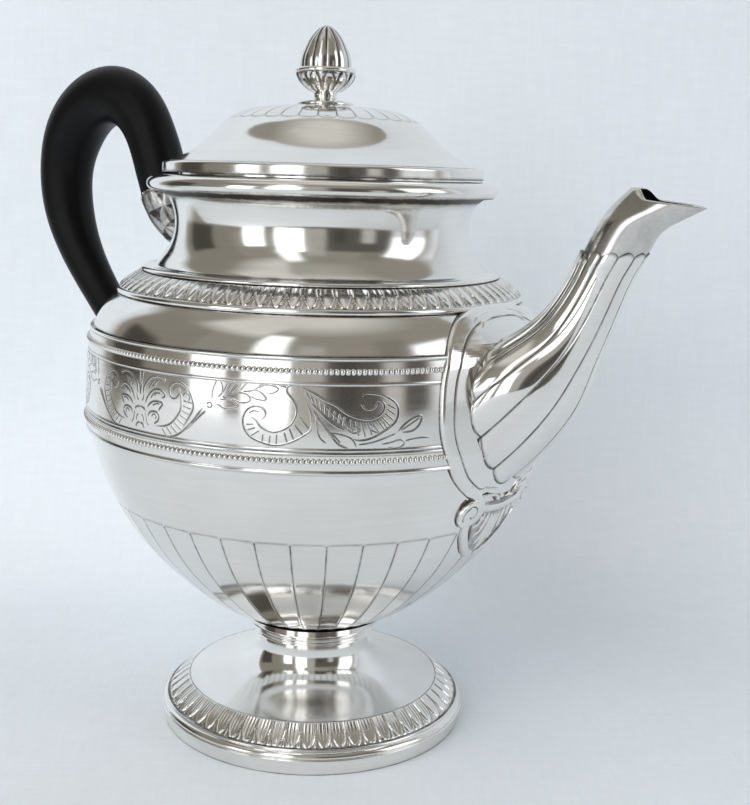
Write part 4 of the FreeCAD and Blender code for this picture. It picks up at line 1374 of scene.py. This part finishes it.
@dataclass
class Lid:
    """Lid, flange, bezel and the acorn finial.

    Attributes:
        flutes: petals round the finial.
        gadroons: lobes of the acorn.
        lobe: height of a lobe.
        lobe_turn: angle of one line between lobes, in degrees.
        leaves: leaves of the cup.
        wall: wall of the lid.
        bezel: depth of the bezel.
        edge: radius of the flange's upper edge.
    """

    flutes: Flutes = Flutes(32, 0.0, 27.2, 0.35, 0.9, True)
    gadroons: int = 12
    lobe: float = 0.35
    lobe_turn: float = 7.8
    leaves: int = 12
    wall: float = 1.0
    bezel: float = 5.0
    edge: float = 0.9

    def acorn(self, theta: Grid, profile: Grid) -> Tuple[Grid, Grid]:
        """Lobes of the acorn: a half ellipse across each, fading towards the tip.

        Args:
            theta: angles shaped rows, 1.
            profile: radius and height of the outline.

        Returns:
            Heights and cavity values shaped rows, columns.
        """
        radius = profile[None, :, 0]
        across = cell(theta, self.gadroons, math.radians(self.lobe_turn))
        edge = (0.5 - np.abs(across)) * TURN * radius / self.gadroons
        fade = soft(0.3, 3.0, radius)
        line = ridge(edge, 0.28) * fade + 0.12
        raised = fade * (self.lobe * np.sqrt(np.clip(1 - (2 * across) ** 2, 0.0, 1.0)) - self.lobe)
        return raised, np.clip(line, 0.0, 1.0)

    def cup(self, theta: Grid, profile: Grid) -> Tuple[Grid, Grid]:
        """Pointed leaves round the cup, with a second row behind them.

        Args:
            theta: angles shaped rows, 1.
            profile: radius and height of the outline.

        Returns:
            Heights and cavity values shaped rows, columns.
        """
        share = (profile[None, :, 1] - Z_CUP) / (Z_ACORN - Z_CUP)
        across = 2 * np.abs(cell(theta, self.leaves))
        half = np.sqrt(np.clip((0.84 - share) / 0.5, 0.0, 1.0))
        inside = soft(-0.08, 0.08, half - across)
        low = soft(0.16, 0.3, share) * soft(0.86, 0.8, share)
        back = ridge(1 - across, 0.3)
        raised = low * (0.5 * inside * (1 - 0.5 * across ** 2) + 0.3 * (1 - inside) * back)
        edge = ridge(half - across, 0.16)
        return raised, np.clip(low * (0.75 * edge + 0.7 * (1 - inside) * (1 - back)), 0.0, 1.0)

    def build(self, maker: Maker) -> None:
        """Add the pieces of the lid.

        Args:
            maker: adds the pieces.
        """
        corner = np.linspace(0.0, math.pi / 2, 12)
        turned = np.stack([np.cos(corner), np.sin(corner)], -1)
        bend = np.array([LID_R - self.edge, Z_FLANGE - self.edge]) + self.edge * turned
        flange = np.concatenate([polyline([(LID_R, Z_LID), (LID_R, Z_FLANGE - 0.95)], 14), bend])
        bezel = Z_LID - self.bezel
        foot = spline([(8.0, Z_FINIAL), (8.3, 189.75), (8.15, 190.15), (6.6, 190.5), (4.6, 190.85),
                       (3.6, 191.3), (3.4, Z_CUP)], 40)
        cup = spline([(3.4, Z_CUP), (3.5, 192.6), (4.5, 193.7), (6.3, 195.0), (7.75, 196.6), (8.3, 198.2),
                      (8.35, 198.55)], 60)
        ring = spline([(8.5, 198.6), (9.0, 198.9), (9.1, 199.3), (8.85, 199.8), (8.2, 200.15),
                       (7.0, 200.1)], 24)
        acorn = outline((7.7, Z_ACORN), (0.0, Z_TOP),
                        ((0.0, 0.0), (0.01, 0.14), (0.07, 0.31), (0.18, 0.47), (0.32, 0.64), (0.5, 0.79),
                         (0.71, 0.91), (1.0, 1.0)), 80)
        dome = Profiles.LID
        maker.turn(Body.LID, {
            "lid_dome": Turned(dome, inward(dome, self.wall), 512, self.flutes.relief, (0.4, 0.0)),
            # The lid flange's lower seam darkening is painted shade in the gap between the flange and the
            # rim.
            "lid_flange": Turned(flange, bore(BEZEL_BORE_R, Z_LID, Z_FLANGE), 320, seam_tarnish_and_shade=(0.5, 0.0)),
            "lid_bezel": Turned(bore(BEZEL_R, bezel, Z_LID), bore(BEZEL_BORE_R, bezel, Z_LID)),
            "finial_base": Turned(foot, bore(STUD_R, Z_FINIAL, Z_CUP), 96),
            "finial_cup": Turned(np.concatenate([cup, ring]), bore(STUD_R, Z_CUP, Z_ACORN), 288, self.cup),
            "finial_acorn": Turned(acorn, np.zeros((0, 2)), 288, self.acorn),
        })


@dataclass
class Handle:
    """Wood loop handle and the socket that holds its upper end.

    Attributes:
        stations: centres and radii of the wood, out from the axis and up.
        socket: centres and radii of the upper socket.
        tiers: tiers of leaves along the socket.
        leaves: leaves in a tier.
        relief: height of a leaf.
        vein: depth of the line along a leaf.
    """

    stations: Rows = (
        (87.0, 115.6, 6.1), (98.0, 128.0, 6.4), (108.0, 142.0, 7.4), (113.5, 156.0, 8.5), (114.0, 169.0, 9.1),
        (109.5, 181.0, 9.9), (99.0, 190.8, 10.0), (88.5, 193.1, 9.7), (79.0, 189.0, 8.9), (72.5, 180.5, 8.3),
        (68.0, 169.4, 8.3), (65.9, 162.7, 8.0))
    socket: Rows = (
        (65.9, 162.7, 8.3), (64.2, 158.0, 7.9), (61.2, 152.0, 6.1), (56.6, 148.8, 4.7), (46.0, 148.8, 4.2))
    tiers: float = 4.2
    leaves: int = 6
    relief: float = 0.32
    vein: float = 0.15

    @staticmethod
    def horn(stations: Rows, rows: int, segments: int) -> Swept:
        """Round section swept along stations, on the side away from the spout.

        Args:
            stations: centres and radii, out from the axis and up.
            rows: samples along the sweep.
            segments: steps round it.

        Returns:
            The sweep.
        """
        path = spline(np.array(stations) * (-1, 1, 1), rows)
        return Swept(path[:, :2], path[:, 2], path[:, 2], segments)

    def leafy(self) -> Sheet:
        """Upper socket: a round horn with tiers of leaves, each with a line along its middle.

        Returns:
            Closed sheet.
        """
        horn = self.horn(self.socket, 200, 144)
        share = np.linspace(0.0, 1.0, len(horn.path))[:, None]
        angle, _ = horn.frame()
        tier = np.mod(share * self.tiers, 1.0)
        shift = np.floor(share * self.tiers) * 0.5
        across = 2 * np.abs(np.mod(angle * self.leaves / TURN + shift, 1.0) - 0.5)
        half = np.sqrt(np.clip(tier / 0.8, 0.0, 1.0))
        inside = soft(-0.12, 0.12, half - across)
        line = ridge(across, 0.14)
        raised = self.relief * inside * (1 - 0.7 * across ** 2) * (1 - 0.5 * tier) - self.vein * line
        ends = soft(0.0, 0.05, share) * soft(1.0, 0.9, share)
        # The 0.5 base darkens the whole socket as painted shade of its side turned from the light; the gaps
        # between leaves and the middle lines add tarnish.
        darkness = np.clip(0.5 + 0.45 * (1 - inside) + 0.3 * line, 0.0, 1.0) * ends
        return Sheet(horn.capped(raised * ends), np.pad(darkness, ((1, 1), (0, 0))))

    def build(self, maker: Maker) -> None:
        """Add the handle and its upper socket.

        Args:
            maker: adds the pieces.
        """
        wood = Sheet(self.horn(self.stations, 260, 72).capped())
        maker.add(wood, "handle", Body.POT, ["handle"], Slot.WOOD)
        maker.add(self.leafy(), "upper_socket", Body.POT, ["upper_socket", "upper_handle_pin"])


@dataclass
class Spout:
    """Lobed spout, its lip, the strap round its root and the drop below.

    Attributes:
        stations: centre out from the axis, centre height, half thickness and half width.
        lobes: lobes round the spout.
        groove: depth of the grooves between lobes.
        root_groove: depth that the grooves gain at the belly.
        line: width of the fine line along a groove.
        top: height where the lobes end.
        scallop: how far the middle of a lobe reaches past its corners at the top.
        lean: how far the widest part of the root lies above its middle.
        leaning: heights between which that lean grows from none to all.
        blur: span over which the belly's radius is averaged under the strap.
        lip: centres, half lengths, half widths and tilt of the plain lip's sections.
        mouth: heights between which the lip opens.
        crest: how far the back of the mouth stands above its sides.
        lip_wall: wall of the lip.
        lip_edge: insets and heights of the lip's rounded edge.
        strap: half width, half height and middle height of the strap's oval.
        level: thickness of the strap.
        width: width of the strap.
        narrow: width that the strap loses towards its scrolls.
        boss: Y and Z of a scroll.
        drop: half width, top and length of the drop.
    """

    stations: Rows = (
        (50.0, 92.0, 17.4, 27.0), (64.2, 105.6, 16.0, 23.0), (76.1, 118.4, 13.9, 20.0),
        (81.9, 126.2, 10.9, 13.6), (85.9, 132.8, 9.3, 10.2), (89.7, 140.4, 8.3, 8.5),
        (92.8, 147.2, 7.8, 7.8), (97.6, 156.2, 7.4, 7.4))
    lobes: int = 12
    groove: float = 0.2
    root_groove: float = 0.9
    line: float = 0.2
    top: float = 151.5
    scallop: float = 1.1
    lean: float = 2.5
    leaning: Pair = (132.0, 104.0)
    blur: float = 3.0
    lip: Rows = (
        (94.2, 150.0, 8.4, 7.5, -1.8), (95.1, 151.5, 8.4, 7.4, 0.0), (101.2, 161.2, 8.3, 6.9, 12.0),
        (108.7, 166.8, 10.4, 5.8, 12.8))
    mouth: Pair = (158.0, 166.8)
    crest: float = 2.4
    lip_wall: float = 1.15
    lip_edge: Tuple[Pair, ...] = ((0.12, 0.16), (0.4, 0.3), (0.75, 0.3), (1.05, 0.14))
    strap: Tuple[float, float, float] = (30.4, 28.0, 108.0)
    level: float = 1.2
    width: float = 9.5
    narrow: float = 3.4
    boss: Pair = (14.2, 79.4)
    drop: Tuple[float, float, float] = (12.6, 81.0, 18.3)

    def body(self) -> Sheet:
        """Lobed body: a lobed section swept along the spout, cut off at the belly and below the lip.

        A groove is a parabola across each lobe, deeper near the belly, with a fine line along its bottom.

        Returns:
            Closed sheet.
        """
        dense = spline(self.stations, 900)
        lean = self.lean * soft(*self.leaning, dense[:, 1:2])
        sweep = Swept(dense[:, :2], dense[:, 2], dense[:, 3], self.lobes * 20, lean)
        across = cell(sweep.frame()[0], self.lobes)
        hollow = (2 * across) ** 2
        line = ridge((0.5 - np.abs(across)) * TURN / self.lobes * dense[:, 2:3], self.line)
        plain = sweep.places()
        rise = Profiles.outside(plain, self.blur)
        depth = self.groove + self.root_groove * ridge(np.maximum(rise, 0.0), 4.0)
        flare = 0.35 * soft(self.top - 6.0, self.top - 1.0, plain[..., 2])
        places = sweep.places(flare - depth * hollow - 0.12 * line)
        line = np.maximum(line, ridge(rise - depth * hollow - self.level - 0.15, 0.22))
        start = len(dense) - np.argmax((Profiles.outside(places) + 0.4)[::-1] < 0, axis=0)
        cut = self.top - 0.3 + self.scallop * (1 - hollow[0])
        past_belly = dense[:, :1] > 80
        stop = np.argmax((places[..., 2] > cut) & past_belly, axis=0)
        share = np.linspace(0.0, 1.0, 150)[:, None]
        row = start + (stop - start) * share
        low = np.floor(row).astype(int)
        part = (row - low)[..., None]
        column = np.arange(places.shape[1])[None, :]
        high = np.minimum(low + 1, len(dense) - 1)
        shown = places[low, column] * (1 - part) + places[high, column] * part
        darkness = np.maximum(line[low, column], 0.8 * ridge(share - 1, 0.008))
        points = np.concatenate([ring_middle(shown[0]), shown, ring_middle(shown[-1])])
        return Sheet(points, np.pad(darkness, ((1, 1), (0, 0)), "edge"))

    def lip_section(self, angle: Grid, rows: Grid, wall: float, lift: float = 0.0) -> Grid:
        """Oval sections of the lip less a wall, with a raised and thick back edge.

        Args:
            angle: angles round the section, shaped 1, columns.
            rows: centres, half lengths, half widths and tilt of the sections.
            wall: how far the section lies inside the lip's outer side.
            lift: height added to every place.

        Returns:
            Places shaped rows, columns, 3.
        """
        tilt = np.radians(rows[:, 4:5])
        share = -np.cos(angle)
        mouth = soft(*self.mouth, rows[:, 1:2])
        rear = mouth * soft(-0.2, -1.0, share)
        beak = mouth * soft(0.6, 1.0, share)
        thick = 1 + 1.4 * rear + beak
        along = (rows[:, 2:3] - wall * thick) * share
        side = (rows[:, 3:4] - wall) * np.sin(angle) * (1 - 0.35 * mouth * soft(0.55, 1.0, share))
        brim = 1.2 - self.crest * (1 - soft(-0.4, -0.95, share)) - 0.95 * (share + 0.5)
        height = rows[:, 1:2] - (1 - mouth) * along * np.sin(tilt) + mouth * brim + lift
        return np.stack([rows[:, :1] + along * np.cos(tilt), side, height], -1)

    def lip_sheet(self) -> Sheet:
        """Plain lip: oval sections that lean outwards to a pointed pouring edge, with a wall and a channel.

        Returns:
            Closed sheet.
        """
        rows = spline(self.lip, 70)
        angle = np.linspace(0.0, TURN, 145)[None, :]
        outer = self.lip_section(angle, rows, 0.0)
        inner = self.lip_section(angle, rows, self.lip_wall)[::-1]
        edge = [self.lip_section(angle, rows[-1:], wall, lift) for wall, lift in self.lip_edge]
        foot = ring_middle(outer[0]) - (0, 0, 0.5)
        points = np.concatenate([foot, outer, *edge, inner, ring_middle(inner[-1])])
        # The inner side darkens to nearly full within a few rows: painted shade inside the spout's channel.
        # The outer side is darkened evenly by 0.3.
        inside = soft(0.0, 7.0, np.arange(len(inner) + 1.0))
        darkness = np.concatenate([np.full(len(points) - len(inside), 0.3), inside])
        return Sheet(points, 0.95 * darkness[:, None] + 0 * angle)

    def on_body(self, side: Grid, height: Grid, raised: Grid) -> Grid:
        """Places over the belly on the spout's side.

        Args:
            side: Y.
            height: Z.
            raised: height above the belly.

        Returns:
            Places with a last axis of 3.
        """
        radius = Profiles.body_radius(height, self.blur) + raised
        return np.stack([np.sqrt(np.maximum(radius ** 2 - side ** 2, 1.0)), side, height], -1)

    def strap_sheet(self) -> Sheet:
        """Strap: a flat band with an incised line, laid along an oval that is squarer at the top.

        Returns:
            Closed sheet.
        """
        bearing = np.linspace(-180.0, 180.0, 361)[:, None]
        turn = np.radians(bearing)
        face = np.linspace(0.8, self.width, 44)
        inset = np.concatenate([[0.0, 0.0, 0.05, 0.25, 0.6], face, [self.width, 0.0]])[None, :]
        level = self.level + np.concatenate([[-2.0, -0.95, -0.5, -0.12], np.zeros(45), [-2.0, -2.0]])[None, :]
        line = ridge(inset - 3.3, 0.18) * (level > self.level - 0.05) * soft(158.0, 148.0, np.abs(bearing))
        # Painted shadow: the strap's low outer wall is darkened as the shadow gap along its edge.
        wall = 0.9 * (inset < 0.02) * (level < self.level - 0.9)
        inset = inset + (self.width - inset) / self.width * self.narrow * soft(147.0, 158.0, np.abs(bearing))
        half_w, half_h, middle = self.strap
        power = np.where(np.cos(turn) > 0, 2 / 2.6, 1.0)
        side = (half_w - inset) * np.sign(np.sin(turn)) * np.abs(np.sin(turn)) ** power
        height = middle + (half_h - inset) * np.sign(np.cos(turn)) * np.abs(np.cos(turn)) ** power
        points = self.on_body(side, height, level - 0.25 * line)
        return Sheet(points, np.clip(line + wall, 0.0, 1.0))

    def volute(self, hand: int) -> Sheet:
        """Scroll end of the strap: a round boss with a spiral groove.

        Args:
            hand: -1 or 1 for the side along Y.

        Returns:
            Closed sheet.
        """
        angle = np.linspace(0.0, TURN, 97)[:, None]
        radius = np.concatenate([np.linspace(0.0, 3.7, 36), [3.95, 4.1, 4.15, 4.15, 0.0]])[None, :]
        top = self.level + 0.35
        level = top + np.concatenate([np.zeros(36), [-0.15, -0.55, -1.2, -2.5, -2.5]])[None, :]
        spiral = 3.1 - 2.3 * np.mod(angle / TURN + 0.1, 1.0)
        face = level > top - 0.05
        groove = ridge(radius - spiral, 0.2) * face
        raised = level - 0.3 * groove + 0.5 * ridge(radius, 1.2) * face
        out, up = self.boss
        points = self.on_body(hand * (out + radius * np.cos(angle)), up + radius * np.sin(angle), raised)
        # The spiral groove is tarnish; the boss's low side wall is darkened as a painted shadow round the
        # boss.
        return Sheet(points, np.clip(groove + 0.9 * (level < top - 1.0), 0.0, 1.0))

    def drop_sheet(self) -> Sheet:
        """Ground of the drop: a thin plate whose half width grows with the root of the way up.

        Returns:
            Closed sheet.
        """
        down = np.linspace(0.0, 1.0, 60)[:, None]
        across = np.linspace(-1.0, 1.0, 121)[None, :]
        half, top, length = self.drop
        side = half * (1 - down) ** 0.5 * across
        height = top - length * down + 0 * across
        front, under = (self.on_body(side, height, raised + 0 * height) for raised in (0.5, -0.8))
        points = np.concatenate([front, under[:, ::-1], front[:, :1]], axis=1)
        points = np.concatenate([ring_middle(points[0]), points, ring_middle(points[-1])])
        return Sheet(points, np.full(points.shape[:2], 0.5))

    @staticmethod
    def mounts() -> List[Tuple[str, Ribbon, Sequence[Points]]]:
        """Raised lines on and round the drop and at the top of the strap, in Y and Z.

        Returns:
            Name, ribbon and lines of each group.
        """
        half = (
            ("curl", Ribbon(1.8, 1.5, 0.0, 0.2), (
                ((21.0, 90.0), (16.2, 86.4), (12.4, 83.4), (10.3, 80.4), (10.6, 77.4), (12.8, 75.6)),)),
            ("loop", Ribbon(0.55, 1.7, 0.0, 0.1), (
                ((14.2, 86.8), (8.9, 86.4), (3.9, 84.6), (1.2, 81.6)),
                ((11.3, 84.4), (7.4, 84.0), (4.4, 82.9), (3.4, 81.4)))),
            ("border", Ribbon(1.3, 1.3, 0.0, 0.1), (
                ((13.6, 77.0), (12.4, 73.4), (9.8, 69.6), (5.4, 65.4), (0.4, 63.2)),)),
            ("reed", Ribbon(0.95, 1.0, 0.0, 0.25), (
                ((0.6, 78.0), (0.5, 72.0), (0.5, 67.0), (0.4, 63.8)),
                ((2.2, 78.2), (2.1, 73.0), (2.8, 69.4), (4.4, 66.8)),
                ((4.4, 78.6), (4.5, 75.0), (5.6, 72.2), (7.6, 70.2)),
                ((6.8, 78.8), (7.2, 76.6), (8.2, 75.0), (9.8, 73.8)))),
            ("crest", Ribbon(0.55, 1.7, 0.0, 0.3), (
                ((2.0, 134.4), (7.0, 134.3), (12.0, 133.0), (15.5, 130.2)),
                ((4.0, 132.8), (8.0, 132.6), (11.0, 131.2), (12.4, 129.0)))),
        )
        groups = [(name + way, ribbon, [np.array(line) * (hand, 1) for line in lines])
                  for way, hand in (("_right", 1), ("_left", -1)) for name, ribbon, lines in half]
        bar = ((-11.0, 80.4), (-6.0, 79.7), (0.0, 79.3), (6.0, 79.7), (11.0, 80.4))
        return [*groups, ("bar", Ribbon(1.4, 1.6, 0.0, 0.05), (bar,))]

    def build(self, maker: Maker) -> None:
        """Add the spout and its mounts.

        Args:
            maker: adds the pieces.
        """
        for name, sheet in (("spout_body", self.body()), ("spout_lip", self.lip_sheet()),
                            ("spout_strap", self.strap_sheet())):
            maker.add(sheet, name, Body.POT, [name])
        for name, hand in (("left", -1), ("right", 1)):
            maker.add(self.volute(hand), name + "_volute", Body.POT)
        maker.add(self.drop_sheet(), "spout_drop", Body.POT, ["spout_drop"])
        for name, ribbon, lines in self.mounts():
            maker.add(ribbon.sheet(lines, self.on_body), "spout_" + name, Body.POT)


@dataclass(frozen=True)
class Panel:
    """Soft-edged patch of the room round the pot.

    Attributes:
        left: first bearing, in degrees to the right of the camera as the pot sees it.
        right: last bearing.
        low: lower elevation in degrees.
        high: upper elevation in degrees.
        colour: linear colour.
        blur: width of the soft edge in degrees.
    """

    left: float
    right: float
    low: float
    high: float
    colour: Tuple[float, float, float]
    blur: float


@dataclass(frozen=True)
class View:
    """Camera as fitted to the photograph.

    Attributes:
        distance: level distance from the pot's axis, in millimetres.
        height: height over the table, in millimetres.
        focal: focal length in pixels of the photograph.
        pixels: width of the photograph in pixels.
        pitch: angle below the level, in radians.
        roll: angle about the line of sight, in radians.
        yaw: angle to the right of the pot's axis, in radians.
        sensor: width of the sensor in millimetres.
        near: distance in metres from which things are shown.
    """

    distance: float = 370.67
    height: float = 170.88
    focal: float = 1218.75
    pixels: int = 750
    pitch: float = 0.187744
    roll: float = 0.029821
    yaw: float = 0.046852
    sensor: float = 36.0
    near: float = 0.01


@dataclass
class Stage:
    """Cloth, room and camera.

    Attributes:
        azimuth: bearing of the camera's side, in degrees.
        view: camera.
        wall: distance of the cloth's upright part behind the pot.
        cove: radius of the cloth's bend.
        front: how far the cloth reaches to the front.
        rise: height of the cloth's upright part.
        reach: how far the cloth reaches to each side.
        fade: places to the left where the upright part falls to the table.
        lamp_power: power of the lamp in watts.
        lamp_size: width of the lamp in metres.
        lamp_place: place of the lamp in metres, to the right, back and up as the camera sees it.
        sky: places and colours of the room from just below the horizon to overhead.
        panels: patches of the room, later ones over earlier ones.
    """

    azimuth: float = 37.8
    view: View = View()
    wall: float = 175.0
    cove: float = 80.0
    front: float = 720.0
    rise: float = 700.0
    reach: float = 1300.0
    fade: Pair = (-300.0, -235.0)
    lamp_power: float = 11.0
    lamp_size: float = 1.4
    lamp_place: Tuple[float, float, float] = (-0.9, -0.8, 0.9)
    sky: Tuple[Tuple[float, Colour], ...] = (
        (0.0, (0.28, 0.265, 0.225, 1.0)), (0.72, (0.28, 0.267, 0.23, 1.0)), (0.92, (0.64, 0.63, 0.59, 1.0)))
    panels: Tuple[Panel, ...] = (
        Panel(-90, 90, -90, -3, (0.16, 0.145, 0.12), 10),
        Panel(90, 240, -90, 38, (0.74, 0.77, 0.80), 10),
        Panel(-127, -72, -6, 50, (0.24, 0.225, 0.19), 6),
        Panel(-118, -92, -6, 27, (0.065, 0.06, 0.052), 4),
        Panel(-100, -40, 55, 80, (0.66, 0.65, 0.61), 10),
        Panel(-14, 52, -12, 34, (0.10, 0.094, 0.083), 4),
        Panel(-13, 3, -10, 48, (0.40, 0.39, 0.355), 4),
        Panel(9, 18, -10, 16, (0.07, 0.066, 0.06), 4),
        Panel(30, 40, -10, 15, (0.52, 0.505, 0.475), 4),
        Panel(34, 56, 34, 53, (0.22, 0.21, 0.18), 6),
        Panel(-38, -20, 34, 60, (1.4, 1.42, 1.42), 5),
        Panel(-62, -45, -9, 25, (2.0, 2.05, 2.12), 3),
        Panel(-36, -14, -9, 37, (2.1, 2.15, 2.22), 3),
        Panel(-26, -24, -9, 37, (0.6, 0.6, 0.6), 2.0),
        Panel(55, 84, -9, 4, (0.75, 0.77, 0.80), 5),
        Panel(55, 84, 4, 42, (1.8, 1.85, 1.93), 5),
    )

    @staticmethod
    def patch() -> bpy.types.NodeTree:
        """Group that masks a patch of the room by bearing and elevation.

        Returns:
            The node group.
        """
        names = ("Bearing", "Elevation", "Middle", "Half", "Low", "High", "Blur")
        graph, given, result = group("room_patch", dict.fromkeys(names, "Float"), {"Mask": "Float"})
        bearing, elevation, middle, half, low, high, blur = (given.outputs[name] for name in names)
        turned = graph.math("WRAP", graph.math("SUBTRACT", bearing, middle), 180.0, -180.0)
        away = graph.math("ABSOLUTE", turned)
        masks = [graph.math("ADD", graph.math("DIVIDE", graph.math("SUBTRACT", *pair), blur), 0.5, clamp=True)
                 for pair in ((half, away), (elevation, low), (high, elevation))]
        whole = graph.math("MULTIPLY", graph.math("MULTIPLY", masks[0], masks[1]), masks[2])
        graph.feed(result, {"Mask": whole})
        return graph.tree

    def room(self) -> None:
        """Paint the room on the world."""
        world = bpy.data.worlds.new("room")
        bpy.context.scene.world = world
        world.use_nodes = True
        graph = Graph(world.node_tree)
        way = graph.add("ShaderNodeTexCoord").outputs["Generated"]
        axes = graph.add("ShaderNodeSeparateXYZ", {"Vector": way}).outputs
        elevation = graph.math("DEGREES", graph.math("ARCSINE", axes[2]))
        bearing = graph.math("DEGREES", graph.math("ARCTAN2", axes[1], axes[0]))
        bearing = graph.math("SUBTRACT", bearing, self.azimuth - 90.0)
        share = graph.span(elevation, -10.0, 90.0)
        ramp = graph.add("ShaderNodeValToRGB", {"Fac": share})
        ramp.color_ramp.elements.new(0.5)
        for stop, (place, colour) in zip(ramp.color_ramp.elements, self.sky):
            stop.position, stop.color = place, colour
        colour = ramp.outputs["Color"]
        patch = self.patch()
        for panel in self.panels:
            inputs = {"Bearing": bearing, "Elevation": elevation,
                      "Middle": (panel.left + panel.right) / 2, "Half": (panel.right - panel.left) / 2,
                      "Low": panel.low, "High": panel.high, "Blur": panel.blur}
            mask = graph.add("ShaderNodeGroup", inputs, node_tree=patch)
            colour = graph.mix(mask.outputs[0], colour, (*panel.colour, 1.0))
        graph.feed(world.node_tree.nodes["Background"], {"Color": colour})

    def cloth(self) -> None:
        """Lay the cloth: level under the pot, then rising behind it, with waves away from the pot."""
        flat = np.linspace(-self.front, self.wall - self.cove, 160)
        bend = np.linspace(0.0, math.pi / 2, 40)[1:]
        rise = np.linspace(0.0, self.rise, 80)[1:]
        away = np.concatenate([flat, self.wall - self.cove + self.cove * np.sin(bend),
                               np.full(len(rise), self.wall)])
        up = np.concatenate([0 * flat, self.cove - self.cove * np.cos(bend), self.cove + rise])
        across = np.linspace(-self.reach, self.reach, 200)[:, None]
        up = up * soft(*self.fade, across)
        along = away + up
        far = soft(70.0, 260.0, np.hypot(across, along))
        fold = far * (1.6 * np.sin(across / 61 + along / 90) * np.sin(along / 43 + 0.7)
                      + 0.7 * np.sin(across / 29 - along / 37))
        height = up + np.where(up > 0, 0.0, np.minimum(fold - 2 * far, 0.0)) - 0.03
        back = away + np.where(up > 0, fold, 0.0)
        cosine, sine = math.cos(math.radians(self.azimuth)), math.sin(math.radians(self.azimuth))
        points = np.stack([across * cosine - back * sine, across * sine + back * cosine, height], -1)
        sheet = Sheet(points, closed=False).build("stage_cloth", ClothFinish().material(self.azimuth), 180.0)

    def lamp(self) -> None:
        """Add a large soft lamp to the left of the camera."""
        data = bpy.data.lights.new("lamp", "AREA")
        data.energy, data.size = self.lamp_power, self.lamp_size
        lamp = bpy.data.objects.new("lamp", data)
        place = Matrix.Rotation(math.radians(self.azimuth), 3, "Z") @ Vector(self.lamp_place)
        lamp.location = place
        lamp.rotation_euler = (-place).to_track_quat("-Z", "Y").to_euler()
        lamp.visible_glossy = False
        bpy.context.scene.collection.objects.link(lamp)

    def camera(self) -> None:
        """Set the camera."""
        view = self.view
        level = math.cos(view.pitch)
        forward = np.array([level * math.sin(view.yaw), level * math.cos(view.yaw), -math.sin(view.pitch)])
        side = np.array([math.cos(view.yaw), -math.sin(view.yaw), 0.0])
        up = np.cross(side, forward)
        right = math.cos(view.roll) * side + math.sin(view.roll) * up
        top = math.cos(view.roll) * up - math.sin(view.roll) * side
        spin = np.array(Matrix.Rotation(math.radians(self.azimuth), 3, "Z"))
        place = np.eye(4)
        place[:3, :3] = spin @ np.stack([right, top, -forward], -1)
        place[:3, 3] = spin @ np.array([0.0, -view.distance, view.height]) * MM
        data = bpy.data.cameras.new("camera")
        data.sensor_fit = "HORIZONTAL"
        data.sensor_width = view.sensor
        data.lens = view.focal * view.sensor / view.pixels
        data.clip_start = view.near
        camera = bpy.data.objects.new("camera", data)
        camera.matrix_world = Matrix(place.tolist())
        bpy.context.scene.collection.objects.link(camera)
        bpy.context.scene.camera = camera

    def build(self) -> None:
        """Add the stage."""
        self.room()
        self.cloth()
        self.lamp()
        self.camera()
        bpy.context.scene.view_settings.view_transform = "Standard"


def main() -> None:
    """Build the teapot's visual model and its stage."""
    logging.basicConfig(level=logging.INFO, format="%(message)s")
    maker = Maker(SilverFinish().material(), WoodFinish().material())
    Stage().build()
    for part in (Foot(), Belly(), Engraving(), Lid(), Handle(), Spout()):
        part.build(maker)
    for node in PLAIN_SOLIDS:
        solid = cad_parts[node]
        solid.data.materials.clear()
        solid.data.materials.append(maker.silver)
    LOG.info("%d pieces: %s", len(maker.made), ", ".join(maker.made))


if __name__ == "__main__":
    main()
